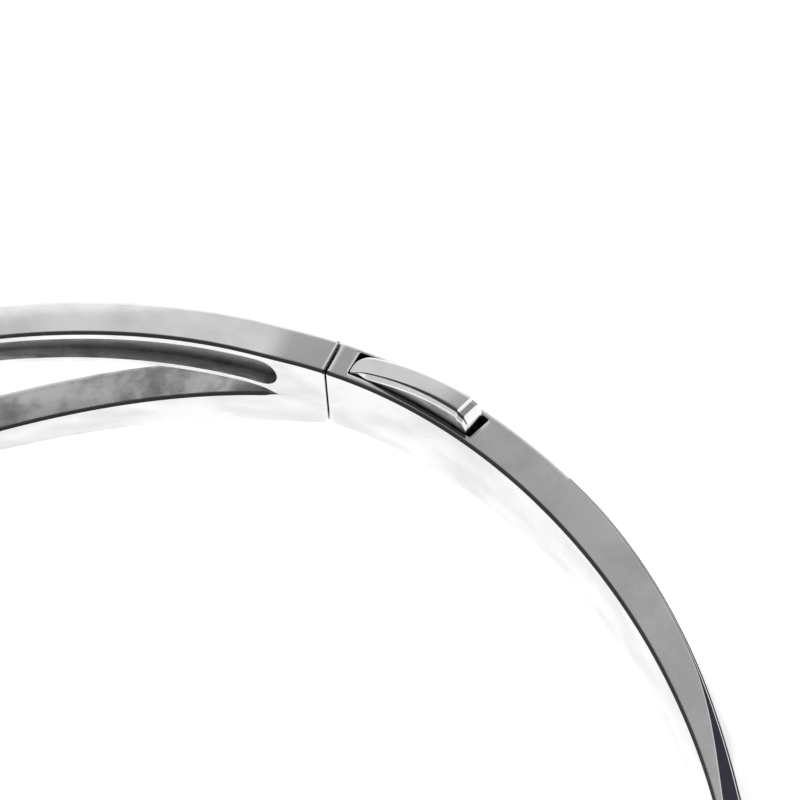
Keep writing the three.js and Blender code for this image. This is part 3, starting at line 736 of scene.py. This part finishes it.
def upper_spread(length):
    past = front_run(length) - UPPER_FLARE_START
    eased = (past + math.hypot(past, UPPER_FLARE_EASE)) / 2
    share = min(1, eased / (FRONT_LENGTH / 2 - UPPER_FLARE_START))
    return UPPER_FLARE * math.sin(math.pi / 2 * share)


def lower_spread(length):
    angle = front_angle(length)
    middle = (SEAM_ANGLE + FRONT_HINGE_FACE) / 2
    from_end = min(angle - SEAM_ANGLE, FRONT_HINGE_FACE - angle) / (middle - SEAM_ANGLE)
    share = clamp(from_end / LOWER_FLARE_SHARE)
    return LOWER_FLARE * math.sin(math.pi / 2 * share ** LOWER_FLARE_POWER)


def settled(widths, angle):
    length = min(oval_length(angle) - oval_length(CLASP_FORK), oval_length(HINGE_FORK) - oval_length(angle))
    return mix(*widths, smooth(length / STRAND_SETTLING))


def front_low(length):
    return BAND_LOW - lower_spread(length)


def front_top(length):
    return BAND_TOP + upper_spread(length)


def front_dome(length):
    """The side edges roll off more and more away from the clasp and from the hinge."""
    return STRAND_DOME * smooth(front_run(length) / DOME_GROWTH)


def lower_high(length):
    return front_low(length) + settled(LOWER_STRAND_WIDTH, front_angle(length))


def upper_low(length):
    web_width, web_length = FORK_WEB
    web = web_width * (1 - smooth(min(length - CLASP_BLOCK_LENGTH, FRONT_END - length) / web_length))
    low = front_top(length) - settled(UPPER_STRAND_WIDTH, front_angle(length)) - web
    return max(low, lower_high(length))


def fork_chamfer(length):
    """Inside the fork the two strands touch, so their chamfers only begin where the opening does."""
    opening = upper_low(length) - lower_high(length)
    return mix(0.006, INNER_CHAMFER, smooth(opening / 0.3))


def strand_span():
    near = 3.0  # close stations this far from each fork
    return (stations(CLASP_BLOCK_LENGTH, CLASP_BLOCK_LENGTH + near, FORK_STEP)
            + stations(CLASP_BLOCK_LENGTH + near, FRONT_END - near, LONG_STEP)[1:-1]
            + stations(FRONT_END - near, FRONT_END, FORK_STEP))


def front_block(name, start, end, first_edge, last_edge):
    return sweep(name, stations(start, end, FINE_STEP), on_front,
                 lambda s: band_outline(front_low(s), front_top(s), SIDE_THICKNESS, CROWN,
                                        dome=front_dome(s)),
                 first_edge=first_edge, last_edge=last_edge)


def front_clasp_block():
    block = front_block("front_clasp_block_polished", SEAM_GAP / 2, CLASP_BLOCK_LENGTH, (0.08, 0.11), 0)
    ease = SOLDER_GAP
    carve(block, sweep("tongue_pocket", stations(0.5, -TONGUE_ROOT - ease, FINE_STEP), swing_point,
                       lambda s: bar_outline(PLATE_LOW - ease, PLATE_HIGH + ease, TONGUE_INSET - ease,
                                             TONGUE_INSET + TONGUE_THICKNESS + ease)))
    return block


def upper_strand():
    strand = sweep("front_upper_strand_polished", strand_span(), on_front,
                   lambda s: band_outline(upper_low(s), front_top(s), SIDE_THICKNESS, CROWN,
                                          dome=front_dome(s), low_shoulder=0.45, low_chamfer=fork_chamfer(s)))
    start = CLASP_BLOCK_LENGTH + HOLLOW_START
    end = FRONT_END - HOLLOW_START
    past = 0.4  # of the hollow's cutter, on the wrist side

    def hollow(length):
        near = clamp(min(length - start, end - length) / HOLLOW_ROUND)
        opening = max(math.sqrt(1 - (1 - near) ** 2), 0.06)
        middle = (upper_low(length) + front_top(length)) / 2
        half = ((front_top(length) - upper_low(length)) / 2 - HOLLOW_RIM) * opening
        return [(-past, middle - half), (HOLLOW_DEPTH, middle - half),
                (HOLLOW_DEPTH, middle + half), (-past, middle + half)]

    rows = [0, 0.01, 0.03, 0.07, 0.13, 0.2, 0.3, 0.42, 0.56]
    span = ([start + s for s in rows] + stations(start + HOLLOW_ROUND, end - HOLLOW_ROUND, LONG_STEP)
            + [end - s for s in reversed(rows)])
    carve(strand, sweep("hollow", span, on_front, hollow))
    return strand


def lower_strand():
    return sweep("front_lower_strand_polished", strand_span(), on_front,
                 lambda s: band_outline(front_low(s), lower_high(s), SIDE_THICKNESS, CROWN,
                                        dome=front_dome(s), high_shoulder=0.35, high_chamfer=fork_chamfer(s)))


def tongue_plate():
    return sweep("tongue_plate_filed", stations(-TONGUE_ROOT, TONGUE_REACH, FINE_STEP), swing_point,
                 lambda s: bar_outline(PLATE_LOW, PLATE_HIGH, TONGUE_INSET, TONGUE_INSET + TONGUE_THICKNESS),
                 last_edge=0.06)


def tongue_leaf():
    return sweep("tongue_spring_leaf_rolled", stations(TONGUE_REACH - 0.02, BRIDGE_LENGTH + LEAF_END_GAP, 0.12),
                 swing_point,
                 lambda s: bar_outline(leaf_low(s), leaf_low(s) + LEAF_THICKNESS,
                                       TONGUE_INSET + LEAF_SIDE_INSET,
                                       TONGUE_INSET + TONGUE_THICKNESS - LEAF_SIDE_INSET, 0.04),
                 last_edge=0.03)


# ---- Hinge --------------------------------------------------------------------------------

KNUCKLE_HEIGHT = (BAND_WIDTH - 2 * KNUCKLE_GAP) / 3
KNUCKLE_PITCH = KNUCKLE_HEIGHT + KNUCKLE_GAP
FACE_Y = abs(oval_point(BACK_HINGE_FACE, BARREL_RADIUS)[1])


def knuckle(name, low, side):
    """A barrel round the pin with a web that reaches the end face of its own block."""
    edge = 0.05
    bore = HINGE_PIN_RADIUS + PIN_CLEARANCE
    height = KNUCKLE_HEIGHT
    barrel = turned(name, (HINGE_X, CENTRE_Y, low), (0, 0, 1),
                    [(0, BARREL_RADIUS - edge), (edge * 0.3, BARREL_RADIUS - edge * 0.3),
                     (edge, BARREL_RADIUS), (height - edge, BARREL_RADIUS),
                     (height - edge * 0.3, BARREL_RADIUS - edge * 0.3), (height, BARREL_RADIUS - edge)], 96)
    half = BARREL_RADIUS * 0.65
    inner = edge * 0.4
    web = sweep("web", stations(0, side * FACE_Y, 0.2),
                lambda s, offset: (HINGE_X + offset, s),
                lambda s: broken([(-half, low + inner, 0.04), (half, low + inner, 0.04),
                                  (half, low + height - inner, 0.04), (-half, low + height - inner, 0.04)], 3))
    carve(barrel, web, "UNION")
    carve(barrel, turned("bore", (HINGE_X, CENTRE_Y, low), (0, 0, 1),
                         [(-1, bore), (height + 1, bore)], 64))
    return barrel


def hinge_pin():
    low, high = BAND_LOW - PIN_STANDOUT, BAND_TOP + PIN_STANDOUT
    dome = [(0.0, 0.4), (0.012, 0.7), (0.03, 0.9), (0.06, 1.0)]
    profile = [(low + rise, HINGE_PIN_RADIUS * share) for rise, share in dome]
    profile += [(high - rise, HINGE_PIN_RADIUS * share) for rise, share in reversed(dome)]
    return turned("hinge_pin_drawn", (HINGE_X, CENTRE_Y, 0), (0, 0, 1), profile, 64)


# ---- Shader groups shared by the finishes ---------------------------------------------------


def new_group(name, inputs, outputs):
    """An empty shader group: inputs and outputs are (name, kind, default)."""
    tree = bpy.data.node_groups.new(name, "ShaderNodeTree")
    for label, kind, default in inputs:
        socket = tree.interface.new_socket(name=label, in_out="INPUT", socket_type=kind)
        if default is not None:
            socket.default_value = default
    for label, kind, _ in outputs:
        tree.interface.new_socket(name=label, in_out="OUTPUT", socket_type=kind)
    return tree, tree.nodes.new("NodeGroupInput"), tree.nodes.new("NodeGroupOutput")


def node(tree, kind, **settings):
    made = tree.nodes.new(kind)
    for key, value in settings.items():
        if key in made.inputs:
            made.inputs[key].default_value = value
        else:
            setattr(made, key, value)
    return made


def math_node(tree, operation, a, b=None, clamped=False):
    made = tree.nodes.new("ShaderNodeMath")
    made.operation = operation
    made.use_clamp = clamped
    for socket, value in zip(made.inputs, (a, b)):
        if value is None:
            continue
        if isinstance(value, (int, float)):
            socket.default_value = value
        else:
            tree.links.new(value, socket)
    return made.outputs[0]


def remap(tree, value, low, high, to_low=0.0, to_high=1.0):
    made = tree.nodes.new("ShaderNodeMapRange")
    made.interpolation_type = "SMOOTHSTEP"
    tree.links.new(value, made.inputs["Value"])
    for label, number in (("From Min", low), ("From Max", high), ("To Min", to_low), ("To Max", to_high)):
        made.inputs[label].default_value = number
    return made.outputs["Result"]


def noise(tree, vector, scale, detail=3.0, roughness=0.55, stretch=(1, 1, 1), turn=(0, 0, 0)):
    mapping = tree.nodes.new("ShaderNodeMapping")
    tree.links.new(vector, mapping.inputs["Vector"])
    mapping.inputs["Scale"].default_value = stretch
    mapping.inputs["Rotation"].default_value = turn
    made = tree.nodes.new("ShaderNodeTexNoise")
    tree.links.new(mapping.outputs[0], made.inputs["Vector"])
    made.inputs["Scale"].default_value = scale
    made.inputs["Detail"].default_value = detail
    made.inputs["Roughness"].default_value = roughness
    return made.outputs["Fac"]


def scaled(tree, place, scale):
    made = tree.nodes.new("ShaderNodeVectorMath")
    made.operation = "SCALE"
    tree.links.new(place, made.inputs[0])
    tree.links.new(scale, made.inputs["Scale"])
    return made.outputs[0]


# the ways that scratches run, as (turn, stretch)
SCRATCH_WAYS = [((0.3, 0.5, 0.4), (1, 14, 5)), ((1.1, 0.2, 2.0), (12, 1, 6)), ((0.2, 1.3, 1.1), (6, 13, 1))]


def build_wear_scratches():
    """Hairline scratches that wearing leaves: a mask of the lines and a height for the bump."""
    tree, inputs, outputs = new_group(
        "wear_scratches", [("Density", "NodeSocketFloat", 1.0), ("Fineness", "NodeSocketFloat", 1.0)],
        [("Lines", "NodeSocketFloat", None), ("Height", "NodeSocketFloat", None)])
    place = tree.nodes.new("ShaderNodeTexCoord").outputs["Object"]
    place = scaled(tree, place, inputs.outputs["Fineness"])
    lines = None
    for turn, stretch in SCRATCH_WAYS:
        streak = noise(tree, place, 420.0, 2.0, 0.5, stretch, turn)
        beside = math_node(tree, "ABSOLUTE", math_node(tree, "SUBTRACT", streak, 0.5))
        narrow = remap(tree, beside, 0.0, 0.018, 1.0, 0.0)
        patch = remap(tree, noise(tree, place, 260.0, 1.0, 0.5, (1, 1, 1), turn), 0.52, 0.66)
        both = math_node(tree, "MULTIPLY", narrow, patch)
        lines = both if lines is None else math_node(tree, "MAXIMUM", lines, both)
    lines = math_node(tree, "MULTIPLY", lines, inputs.outputs["Density"], True)
    tree.links.new(lines, outputs.inputs["Lines"])
    tree.links.new(math_node(tree, "SUBTRACT", 1.0, lines), outputs.inputs["Height"])
    return tree


def build_polish_ripple():
    """The slow unevenness of a hand-polished face, and the smears that handling leaves on it."""
    tree, inputs, outputs = new_group(
        "polish_ripple", [("Ripple Size", "NodeSocketFloat", 1.0)],
        [("Smears", "NodeSocketFloat", None), ("Height", "NodeSocketFloat", None)])
    place = tree.nodes.new("ShaderNodeTexCoord").outputs["Object"]
    place = scaled(tree, place, inputs.outputs["Ripple Size"])
    smears = remap(tree, noise(tree, place, 300.0, 4.0, 0.6, (1, 1, 2.5), (0.4, 0.2, 0)), 0.38, 0.68)
    tree.links.new(smears, outputs.inputs["Smears"])
    broad = noise(tree, place, 210.0, 1.0, 0.4)
    fine = noise(tree, place, 1500.0, 2.0, 0.5)
    height = math_node(tree, "ADD", broad, math_node(tree, "MULTIPLY", fine, 0.1))
    tree.links.new(height, outputs.inputs["Height"])
    return tree


def build_corner_tarnish():
    """Tarnish and polish left in corners and narrow gaps, broken up so that it is patchy."""
    tree, inputs, outputs = new_group(
        "corner_tarnish", [("Reach", "NodeSocketFloat", 0.0005), ("Strength", "NodeSocketFloat", 0.6)],
        [("Mask", "NodeSocketFloat", None)])
    place = tree.nodes.new("ShaderNodeTexCoord").outputs["Object"]
    shelter = tree.nodes.new("ShaderNodeAmbientOcclusion")
    shelter.samples = 6
    tree.links.new(inputs.outputs["Reach"], shelter.inputs["Distance"])
    closed = remap(tree, shelter.outputs["AO"], 0.2, 0.75, 1.0, 0.0)
    patch = remap(tree, noise(tree, place, 900.0, 3.0, 0.6), 0.3, 0.6, 0.45, 1.0)
    mask = math_node(tree, "MULTIPLY", closed, patch)
    mask = math_node(tree, "MULTIPLY", mask, inputs.outputs["Strength"], True)
    tree.links.new(mask, outputs.inputs["Mask"])
    return tree


def build_edge_wear():
    """Where edges have been rubbed: a patchy mask along the broken edges."""
    tree, inputs, outputs = new_group(
        "edge_wear", [("Strength", "NodeSocketFloat", 1.0)], [("Mask", "NodeSocketFloat", None)])
    rounding = tree.nodes.new("ShaderNodeAttribute")
    rounding.attribute_name = "rubbed"
    place = tree.nodes.new("ShaderNodeTexCoord").outputs["Object"]
    rubbed = rounding.outputs["Fac"]
    patch = remap(tree, noise(tree, place, 700.0, 2.0, 0.5), 0.35, 0.65, 0.3, 1.0)
    mask = math_node(tree, "MULTIPLY", rubbed, patch)
    mask = math_node(tree, "MULTIPLY", mask, inputs.outputs["Strength"], True)
    tree.links.new(mask, outputs.inputs["Mask"])
    return tree


GROUPS = {"scratches": build_wear_scratches(), "ripple": build_polish_ripple(),
          "tarnish": build_corner_tarnish(), "wear": build_edge_wear()}


def placed(tree, which, **values):
    made = tree.nodes.new("ShaderNodeGroup")
    made.node_tree = GROUPS[which]
    for key, value in values.items():
        made.inputs[key.replace("_", " ")].default_value = value
    return made.outputs


def colour_mix(tree, factor, a, b):
    made = tree.nodes.new("ShaderNodeMix")
    made.data_type = "RGBA"
    tree.links.new(factor, made.inputs["Factor"])
    colours = [s for s in made.inputs if s.type == "RGBA"]
    for socket, value in zip(colours, (a, b)):
        if isinstance(value, tuple):
            socket.default_value = (*value, 1)
        else:
            tree.links.new(value, socket)
    return next(s for s in made.outputs if s.type == "RGBA")


def silver(name, bright, dull, tarnished, roughness, scratch_density=0.6, fineness=1.0, ripple=0.3,
           ripple_size=1.0, tarnish=0.6, wear=0.6, grain=None):
    """A white metal finish: bright and dull tones, wear lines, smears, tarnish and rubbed edges."""
    material = bpy.data.materials.new(name)
    material.use_nodes = True
    tree = material.node_tree
    shader = tree.nodes["Principled BSDF"]
    shader.inputs["Metallic"].default_value = 1.0
    scratches = placed(tree, "scratches", Density=scratch_density, Fineness=fineness)
    surface = placed(tree, "ripple", Ripple_Size=ripple_size)
    corner = placed(tree, "tarnish", Strength=tarnish)
    rubbed = placed(tree, "wear", Strength=wear)
    colour = colour_mix(tree, surface["Smears"], bright, dull)
    colour = colour_mix(tree, math_node(tree, "MULTIPLY", scratches["Lines"], 0.25), colour, dull)
    colour = colour_mix(tree, rubbed["Mask"], colour, bright)
    colour = colour_mix(tree, corner["Mask"], colour, tarnished)
    rough = math_node(tree, "MULTIPLY_ADD", surface["Smears"], roughness * 0.7)
    rough.node.inputs[2].default_value = roughness
    rough = math_node(tree, "ADD", rough, math_node(tree, "MULTIPLY", scratches["Lines"], 0.12))
    rough = math_node(tree, "ADD", rough, math_node(tree, "MULTIPLY", corner["Mask"], 0.25))
    rough = math_node(tree, "ADD", rough, math_node(tree, "MULTIPLY", rubbed["Mask"], 0.04), True)
    height = math_node(tree, "MULTIPLY", surface["Height"], ripple)
    height = math_node(tree, "ADD", height, math_node(tree, "MULTIPLY", scratches["Height"], 0.03))
    if grain is not None:
        place = tree.nodes.new("ShaderNodeTexCoord").outputs["Object"]
        lines = noise(tree, place, grain["scale"], 3.0, 0.6, grain["stretch"])
        height = math_node(tree, "ADD", height, math_node(tree, "MULTIPLY", lines, grain["depth"]))
        rough = math_node(tree, "ADD", rough, math_node(tree, "MULTIPLY", lines, 0.1), True)
    bump = tree.nodes.new("ShaderNodeBump")
    bump.inputs["Strength"].default_value = 1.0
    bump.inputs["Distance"].default_value = 0.00001
    tree.links.new(height, bump.inputs["Height"])
    tree.links.new(bump.outputs[0], shader.inputs["Normal"])
    tree.links.new(colour, shader.inputs["Base Color"])
    tree.links.new(rough, shader.inputs["Roughness"])
    return material


MIRROR_SILVER = silver("mirror_polished_silver", (0.95, 0.95, 0.953), (0.79, 0.79, 0.795),
                       (0.2, 0.195, 0.19), 0.05, scratch_density=1.0, fineness=1.2, ripple=0.8)
OUTER_SILVER = silver("outer_strand_silver", (0.86, 0.86, 0.865), (0.66, 0.66, 0.665),
                      (0.2, 0.195, 0.19), 0.09, scratch_density=0.8, ripple=0.6)
LEVER_SILVER = silver("thumbed_lever_silver", (0.94, 0.94, 0.945), (0.8, 0.8, 0.805),
                      (0.12, 0.118, 0.115), 0.07, scratch_density=0.8, fineness=1.3, ripple=0.4, tarnish=0.25)
# Painted shade: the seam faces of the front clasp block get a near-black colour that stands for the shadow in
# the narrow seam gap.
SEAM_PAINTED_SHADE = silver("tarnished_seam_silver", (0.16, 0.16, 0.16), (0.05, 0.05, 0.05),
                     (0.02, 0.02, 0.02), 0.3, scratch_density=0.4, tarnish=0.9, wear=0.0)
# The hollow's floor is rougher than the polish, and its dark colour is painted shade in the hollow.
HOLLOW_PAINTED_SHADE = silver("unpolished_hollow_silver", (0.64, 0.64, 0.645), (0.34, 0.34, 0.342),
                       (0.03, 0.03, 0.03), 0.3, scratch_density=0.4, fineness=1.6,
                       ripple=1.5, ripple_size=2.4, tarnish=0.9, wear=0.1)
# The faces that meet across the gap between the strands are satin-rough, and their dark colour is painted shade
# between the strands.
STRANDS_GAP_PAINTED_SHADE = silver("satin_silver_between_strands", (0.66, 0.66, 0.665), (0.3, 0.3, 0.303),
                      (0.05, 0.05, 0.05), 0.26, scratch_density=0.8, fineness=1.4,
                      ripple=1.6, ripple_size=1.8, tarnish=1.0, wear=0.3)
# The lever's recess and the lever's inner side are rougher than the polish, and their dark colour is painted
# shade in the recess and under the raised lever.
RECESS_PAINTED_SHADE = silver("dull_recess_silver", (0.5, 0.5, 0.503), (0.2, 0.2, 0.201),
                       (0.02, 0.02, 0.02), 0.34, scratch_density=0.8, fineness=2.0,
                       ripple=1.2, ripple_size=2.2, tarnish=1.0, wear=0.1)
FILED_SILVER = silver("filed_inner_silver", (0.82, 0.82, 0.83), (0.68, 0.68, 0.69), (0.2, 0.2, 0.198), 0.2,
                      scratch_density=1.0, fineness=2.0, wear=0.4,
                      grain={"scale": 900.0, "stretch": (1, 1, 9), "depth": 0.25})
SPRING_STRIP = silver("rolled_spring_strip", (0.72, 0.72, 0.73), (0.58, 0.58, 0.59), (0.16, 0.16, 0.16), 0.16,
                      scratch_density=0.8, fineness=2.2, wear=0.3,
                      grain={"scale": 1200.0, "stretch": (6, 1, 1), "depth": 0.15})


# ---- Put the pieces in place --------------------------------------------------------------

FINISH = {"polished": MIRROR_SILVER, "filed": FILED_SILVER, "drawn": FILED_SILVER, "rolled": SPRING_STRIP}


def set_in(piece, body, cad_node, sharp=32):
    piece.data.transform(Matrix.Scale(MM, 4))
    finish_surface(piece, sharp)
    mark_rubbed_edges(piece)
    kind = piece.name.rsplit("_", 1)[1]
    piece.data.materials.clear()
    piece.data.materials.append(FINISH[kind])
    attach(piece, body)
    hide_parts(cad_node)
    return piece


box = set_in(clasp_box(), "back_half", "clasp_box")
set_in(back_band(), "back_half", "back_band")
strand = set_in(outer_strand(), "back_half", "back_outer_strand")
strand.data.materials[0] = OUTER_SILVER
set_in(back_hinge_block(), "back_half", "back_hinge_block")
set_in(knuckle("back_knuckle_polished", BAND_LOW + KNUCKLE_PITCH, 1), "back_half", "back_knuckle")
set_in(hinge_pin(), "back_half", "hinge_pin")
set_in(lever_pivot_pin(), "back_half", "lever_pivot_pin")
spring = set_in(lever_spring(), "back_half", "lever_spring")
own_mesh(spring)
block = set_in(front_clasp_block(), "front_half", "front_clasp_block")
upper = set_in(upper_strand(), "front_half", "front_upper_strand")
lower = set_in(lower_strand(), "front_half", "front_lower_strand")
set_in(front_block("front_hinge_block_polished", FRONT_END, FRONT_LENGTH, 0, 0.06),
       "front_half", "front_hinge_block")
set_in(knuckle("front_lower_knuckle_polished", BAND_LOW, -1), "front_half", "front_lower_knuckle")
set_in(knuckle("front_upper_knuckle_polished", BAND_LOW + 2 * KNUCKLE_PITCH, -1),
       "front_half", "front_upper_knuckle")
set_in(tongue_plate(), "front_half", "tongue_plate")
leaf = set_in(tongue_leaf(), "front_half", "tongue_spring_leaf")
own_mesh(leaf)
lever = set_in(push_lever(), "push_lever", "push_lever")
lever.data.materials[0] = LEVER_SILVER
set_in(lever_foot(), "push_lever", "lever_foot")


Place = namedtuple("Place", "normal direction out height length")


def give_finish(piece, finish, belongs):
    """Gives another finish to the faces whose direction and place belong to it."""
    piece.data.materials.append(finish)
    index = len(piece.data.materials) - 1
    for polygon in piece.data.polygons:
        direction, out, length = outward(polygon.center / MM)
        if belongs(Place(polygon.normal, direction, out, polygon.center.z / MM, length)):
            polygon.material_index = index


def hollow_floor(face):
    return abs(face.out - HOLLOW_DEPTH) < 0.1 and face.normal.dot(face.direction) < -0.5


def upper_strand_underside(face):
    return face.normal.z < -0.75 and face.out > 0.05


def lower_strand_top(face):
    return face.normal.z > 0.75 and face.out > 0.1


def inside_recess(face):
    return RECESS_FLOOR - 0.05 < face.height < BAND_TOP - 0.05 and 0.1 < face.out < RECESS_OUTER + 0.05


def lever_inner_side(face):
    facet_low = lever_top(face.length) - LEVER_FACET[1]
    return face.normal.dot(face.direction) < -0.9 and face.height < facet_low - 0.02


def seam_edge(face):
    return face.length < 0.11 and face.height > BAND_TOP - 0.9 and face.out < SIDE_THICKNESS


# Painted shade on the hollow's floor.
give_finish(upper, HOLLOW_PAINTED_SHADE, hollow_floor)
# Painted shade on the faces between the two front strands.
give_finish(upper, STRANDS_GAP_PAINTED_SHADE, upper_strand_underside)
give_finish(lower, STRANDS_GAP_PAINTED_SHADE, lower_strand_top)
# Painted shade inside the lever's recess and on the lever's inner side.
give_finish(box, RECESS_PAINTED_SHADE, inside_recess)
give_finish(lever, RECESS_PAINTED_SHADE, lever_inner_side)
# Painted shade on the seam faces of the front clasp block.
give_finish(block, SEAM_PAINTED_SHADE, seam_edge)

# ---- Camera -------------------------------------------------------------------------------
# It looks down on the clasp from the hinge end, a little to the back half's side.

CAMERA_ELEVATION = 52.0
CAMERA_HEADING = Vector((-0.918, -0.3965, 0)).normalized()
CAMERA_DISTANCE = 200.0
CAMERA_ROLL = -4.29
CAMERA_TARGET = Vector((-28.62, 4.185, BAND_TOP))
LENS = 244.0

elevation = math.radians(CAMERA_ELEVATION)
look = CAMERA_HEADING * math.cos(elevation) + Vector((0, 0, -math.sin(elevation)))
camera_data = bpy.data.cameras.new("studio_camera")
camera_data.lens = LENS
camera_data.sensor_width = 36
camera_data.clip_start, camera_data.clip_end = 0.01, 20
camera = bpy.data.objects.new("studio_camera", camera_data)
bpy.context.scene.collection.objects.link(camera)
camera.rotation_mode = "QUATERNION"
camera.location = (CAMERA_TARGET - look * CAMERA_DISTANCE) * MM
camera.rotation_quaternion = look.to_track_quat("-Z", "Y") @ Quaternion((0, 0, 1), math.radians(CAMERA_ROLL))
bpy.context.scene.camera = camera

# ---- Floor --------------------------------------------------------------------------------
# The split front is deeper than the back, so the bangle rests on its lower front strand and on
# the lower edge of the back band, and the floor slopes under it by that much.

FLOOR_SIZE = 3.0
low_corner, high_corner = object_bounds()
front_y = low_corner.y + FULL_THICKNESS * MM / 2
back_y = high_corner.y - FULL_THICKNESS * MM / 2
slope = math.atan2(BAND_LOW * MM, back_y - front_y)

floor_mesh = bpy.data.meshes.new("studio_floor")
bm = bmesh.new()
bmesh.ops.create_grid(bm, x_segments=8, y_segments=8, size=FLOOR_SIZE)
bm.to_mesh(floor_mesh)
bm.free()
floor = bpy.data.objects.new("studio_floor", floor_mesh)
bpy.context.scene.collection.objects.link(floor)
floor.matrix_world = Matrix.Translation((0, front_y, -0.00002)) @ Matrix.Rotation(slope, 4, "X")

floor_material = bpy.data.materials.new("pale_lit_floor")
floor_material.use_nodes = True
shader = floor_material.node_tree.nodes["Principled BSDF"]
shader.inputs["Base Color"].default_value = (0.9, 0.9, 0.9, 1)
shader.inputs["Roughness"].default_value = 0.9
shader.inputs["Specular IOR Level"].default_value = 0.1
shader.inputs["Emission Color"].default_value = (1, 1, 1, 1)
shader.inputs["Emission Strength"].default_value = 0.8
floor_mesh.materials.append(floor_material)

# ---- Studio light -------------------------------------------------------------------------
# A tent that is bright low down on the far side and greyer overhead, dark on the near side, with
# three cards hung in it.

world = bpy.data.worlds.new("studio_tent")
bpy.context.scene.world = world
world.use_nodes = True
tree = world.node_tree
tree.nodes.clear()
direction = tree.nodes.new("ShaderNodeTexCoord").outputs["Generated"]
split = tree.nodes.new("ShaderNodeSeparateXYZ")
tree.links.new(direction, split.inputs[0])
height = split.outputs["Z"]


def tone_ramp(tree, value, stops):
    ramp = tree.nodes.new("ShaderNodeValToRGB")
    tree.links.new(value, ramp.inputs["Fac"])
    elements = ramp.color_ramp.elements
    while len(elements) < len(stops):
        elements.new(0.5)
    for element, (place, tone) in zip(elements, stops):
        element.position = place
        element.color = (tone, tone, tone, 1)
    return ramp.outputs["Color"]


def level_direction(azimuth):
    return math.cos(math.radians(azimuth)), math.sin(math.radians(azimuth)), 0


NEAR_AZIMUTH = -28.0  # the dark side of the tent
FAR_SIDE = [(0.0, 1.0), (0.48, 1.0), (0.6, 0.76), (0.7, 0.55), (0.77, 0.38), (0.83, 0.26), (1.0, 0.3)]
NEAR_SIDE = [(0.0, 0.5), (0.015, 0.06), (0.6, 0.035), (0.85, 0.08), (1.0, 0.3)]
flat_direction = tree.nodes.new("ShaderNodeCombineXYZ")
tree.links.new(split.outputs["X"], flat_direction.inputs["X"])
tree.links.new(split.outputs["Y"], flat_direction.inputs["Y"])
unit = tree.nodes.new("ShaderNodeVectorMath")
unit.operation = "NORMALIZE"
tree.links.new(flat_direction.outputs[0], unit.inputs[0])
facing = tree.nodes.new("ShaderNodeVectorMath")
facing.operation = "DOT_PRODUCT"
tree.links.new(unit.outputs[0], facing.inputs[0])
facing.inputs[1].default_value = level_direction(NEAR_AZIMUTH)
nearness = remap(tree, facing.outputs["Value"], 0.02, 0.2)
tones = colour_mix(tree, nearness, tone_ramp(tree, height, FAR_SIDE), tone_ramp(tree, height, NEAR_SIDE))


def hang_card(tones, azimuth, half_width, low, high, tone, softness=6):
    """A card in the tent, between two heights and so many degrees to each side of an azimuth."""
    toward = tree.nodes.new("ShaderNodeVectorMath")
    toward.operation = "DOT_PRODUCT"
    tree.links.new(unit.outputs[0], toward.inputs[0])
    toward.inputs[1].default_value = level_direction(azimuth)
    edges = [math.cos(math.radians(half_width + turn)) for turn in (softness, -softness)]
    card = remap(tree, toward.outputs["Value"], *edges)
    card = math_node(tree, "MULTIPLY", card, remap(tree, height, low - 0.04, low + 0.04))
    card = math_node(tree, "MULTIPLY", card, remap(tree, height, high - 0.04, high + 0.04, 1.0, 0.0))
    return colour_mix(tree, card, tones, tone)


tones = hang_card(tones, 160, 26, 0.05, 0.56, (0.04, 0.04, 0.055))
tones = hang_card(tones, 172, 21, 0.62, 1.2, (0.68, 0.68, 0.68), 12)
tones = hang_card(tones, 228, 18, 0.3, 0.72, (0.64, 0.64, 0.64), 8)
light = tree.nodes.new("ShaderNodeBackground")
tree.links.new(tones, light.inputs["Color"])
backdrop = node(tree, "ShaderNodeBackground", Color=(1, 1, 1, 1), Strength=1.0)
seen = tree.nodes.new("ShaderNodeLightPath")
blend = tree.nodes.new("ShaderNodeMixShader")
tree.links.new(seen.outputs["Is Camera Ray"], blend.inputs["Fac"])
tree.links.new(light.outputs[0], blend.inputs[1])
tree.links.new(backdrop.outputs[0], blend.inputs[2])
output = tree.nodes.new("ShaderNodeOutputWorld")
tree.links.new(blend.outputs[0], output.inputs["Surface"])

bpy.context.scene.view_settings.view_transform = "Standard"
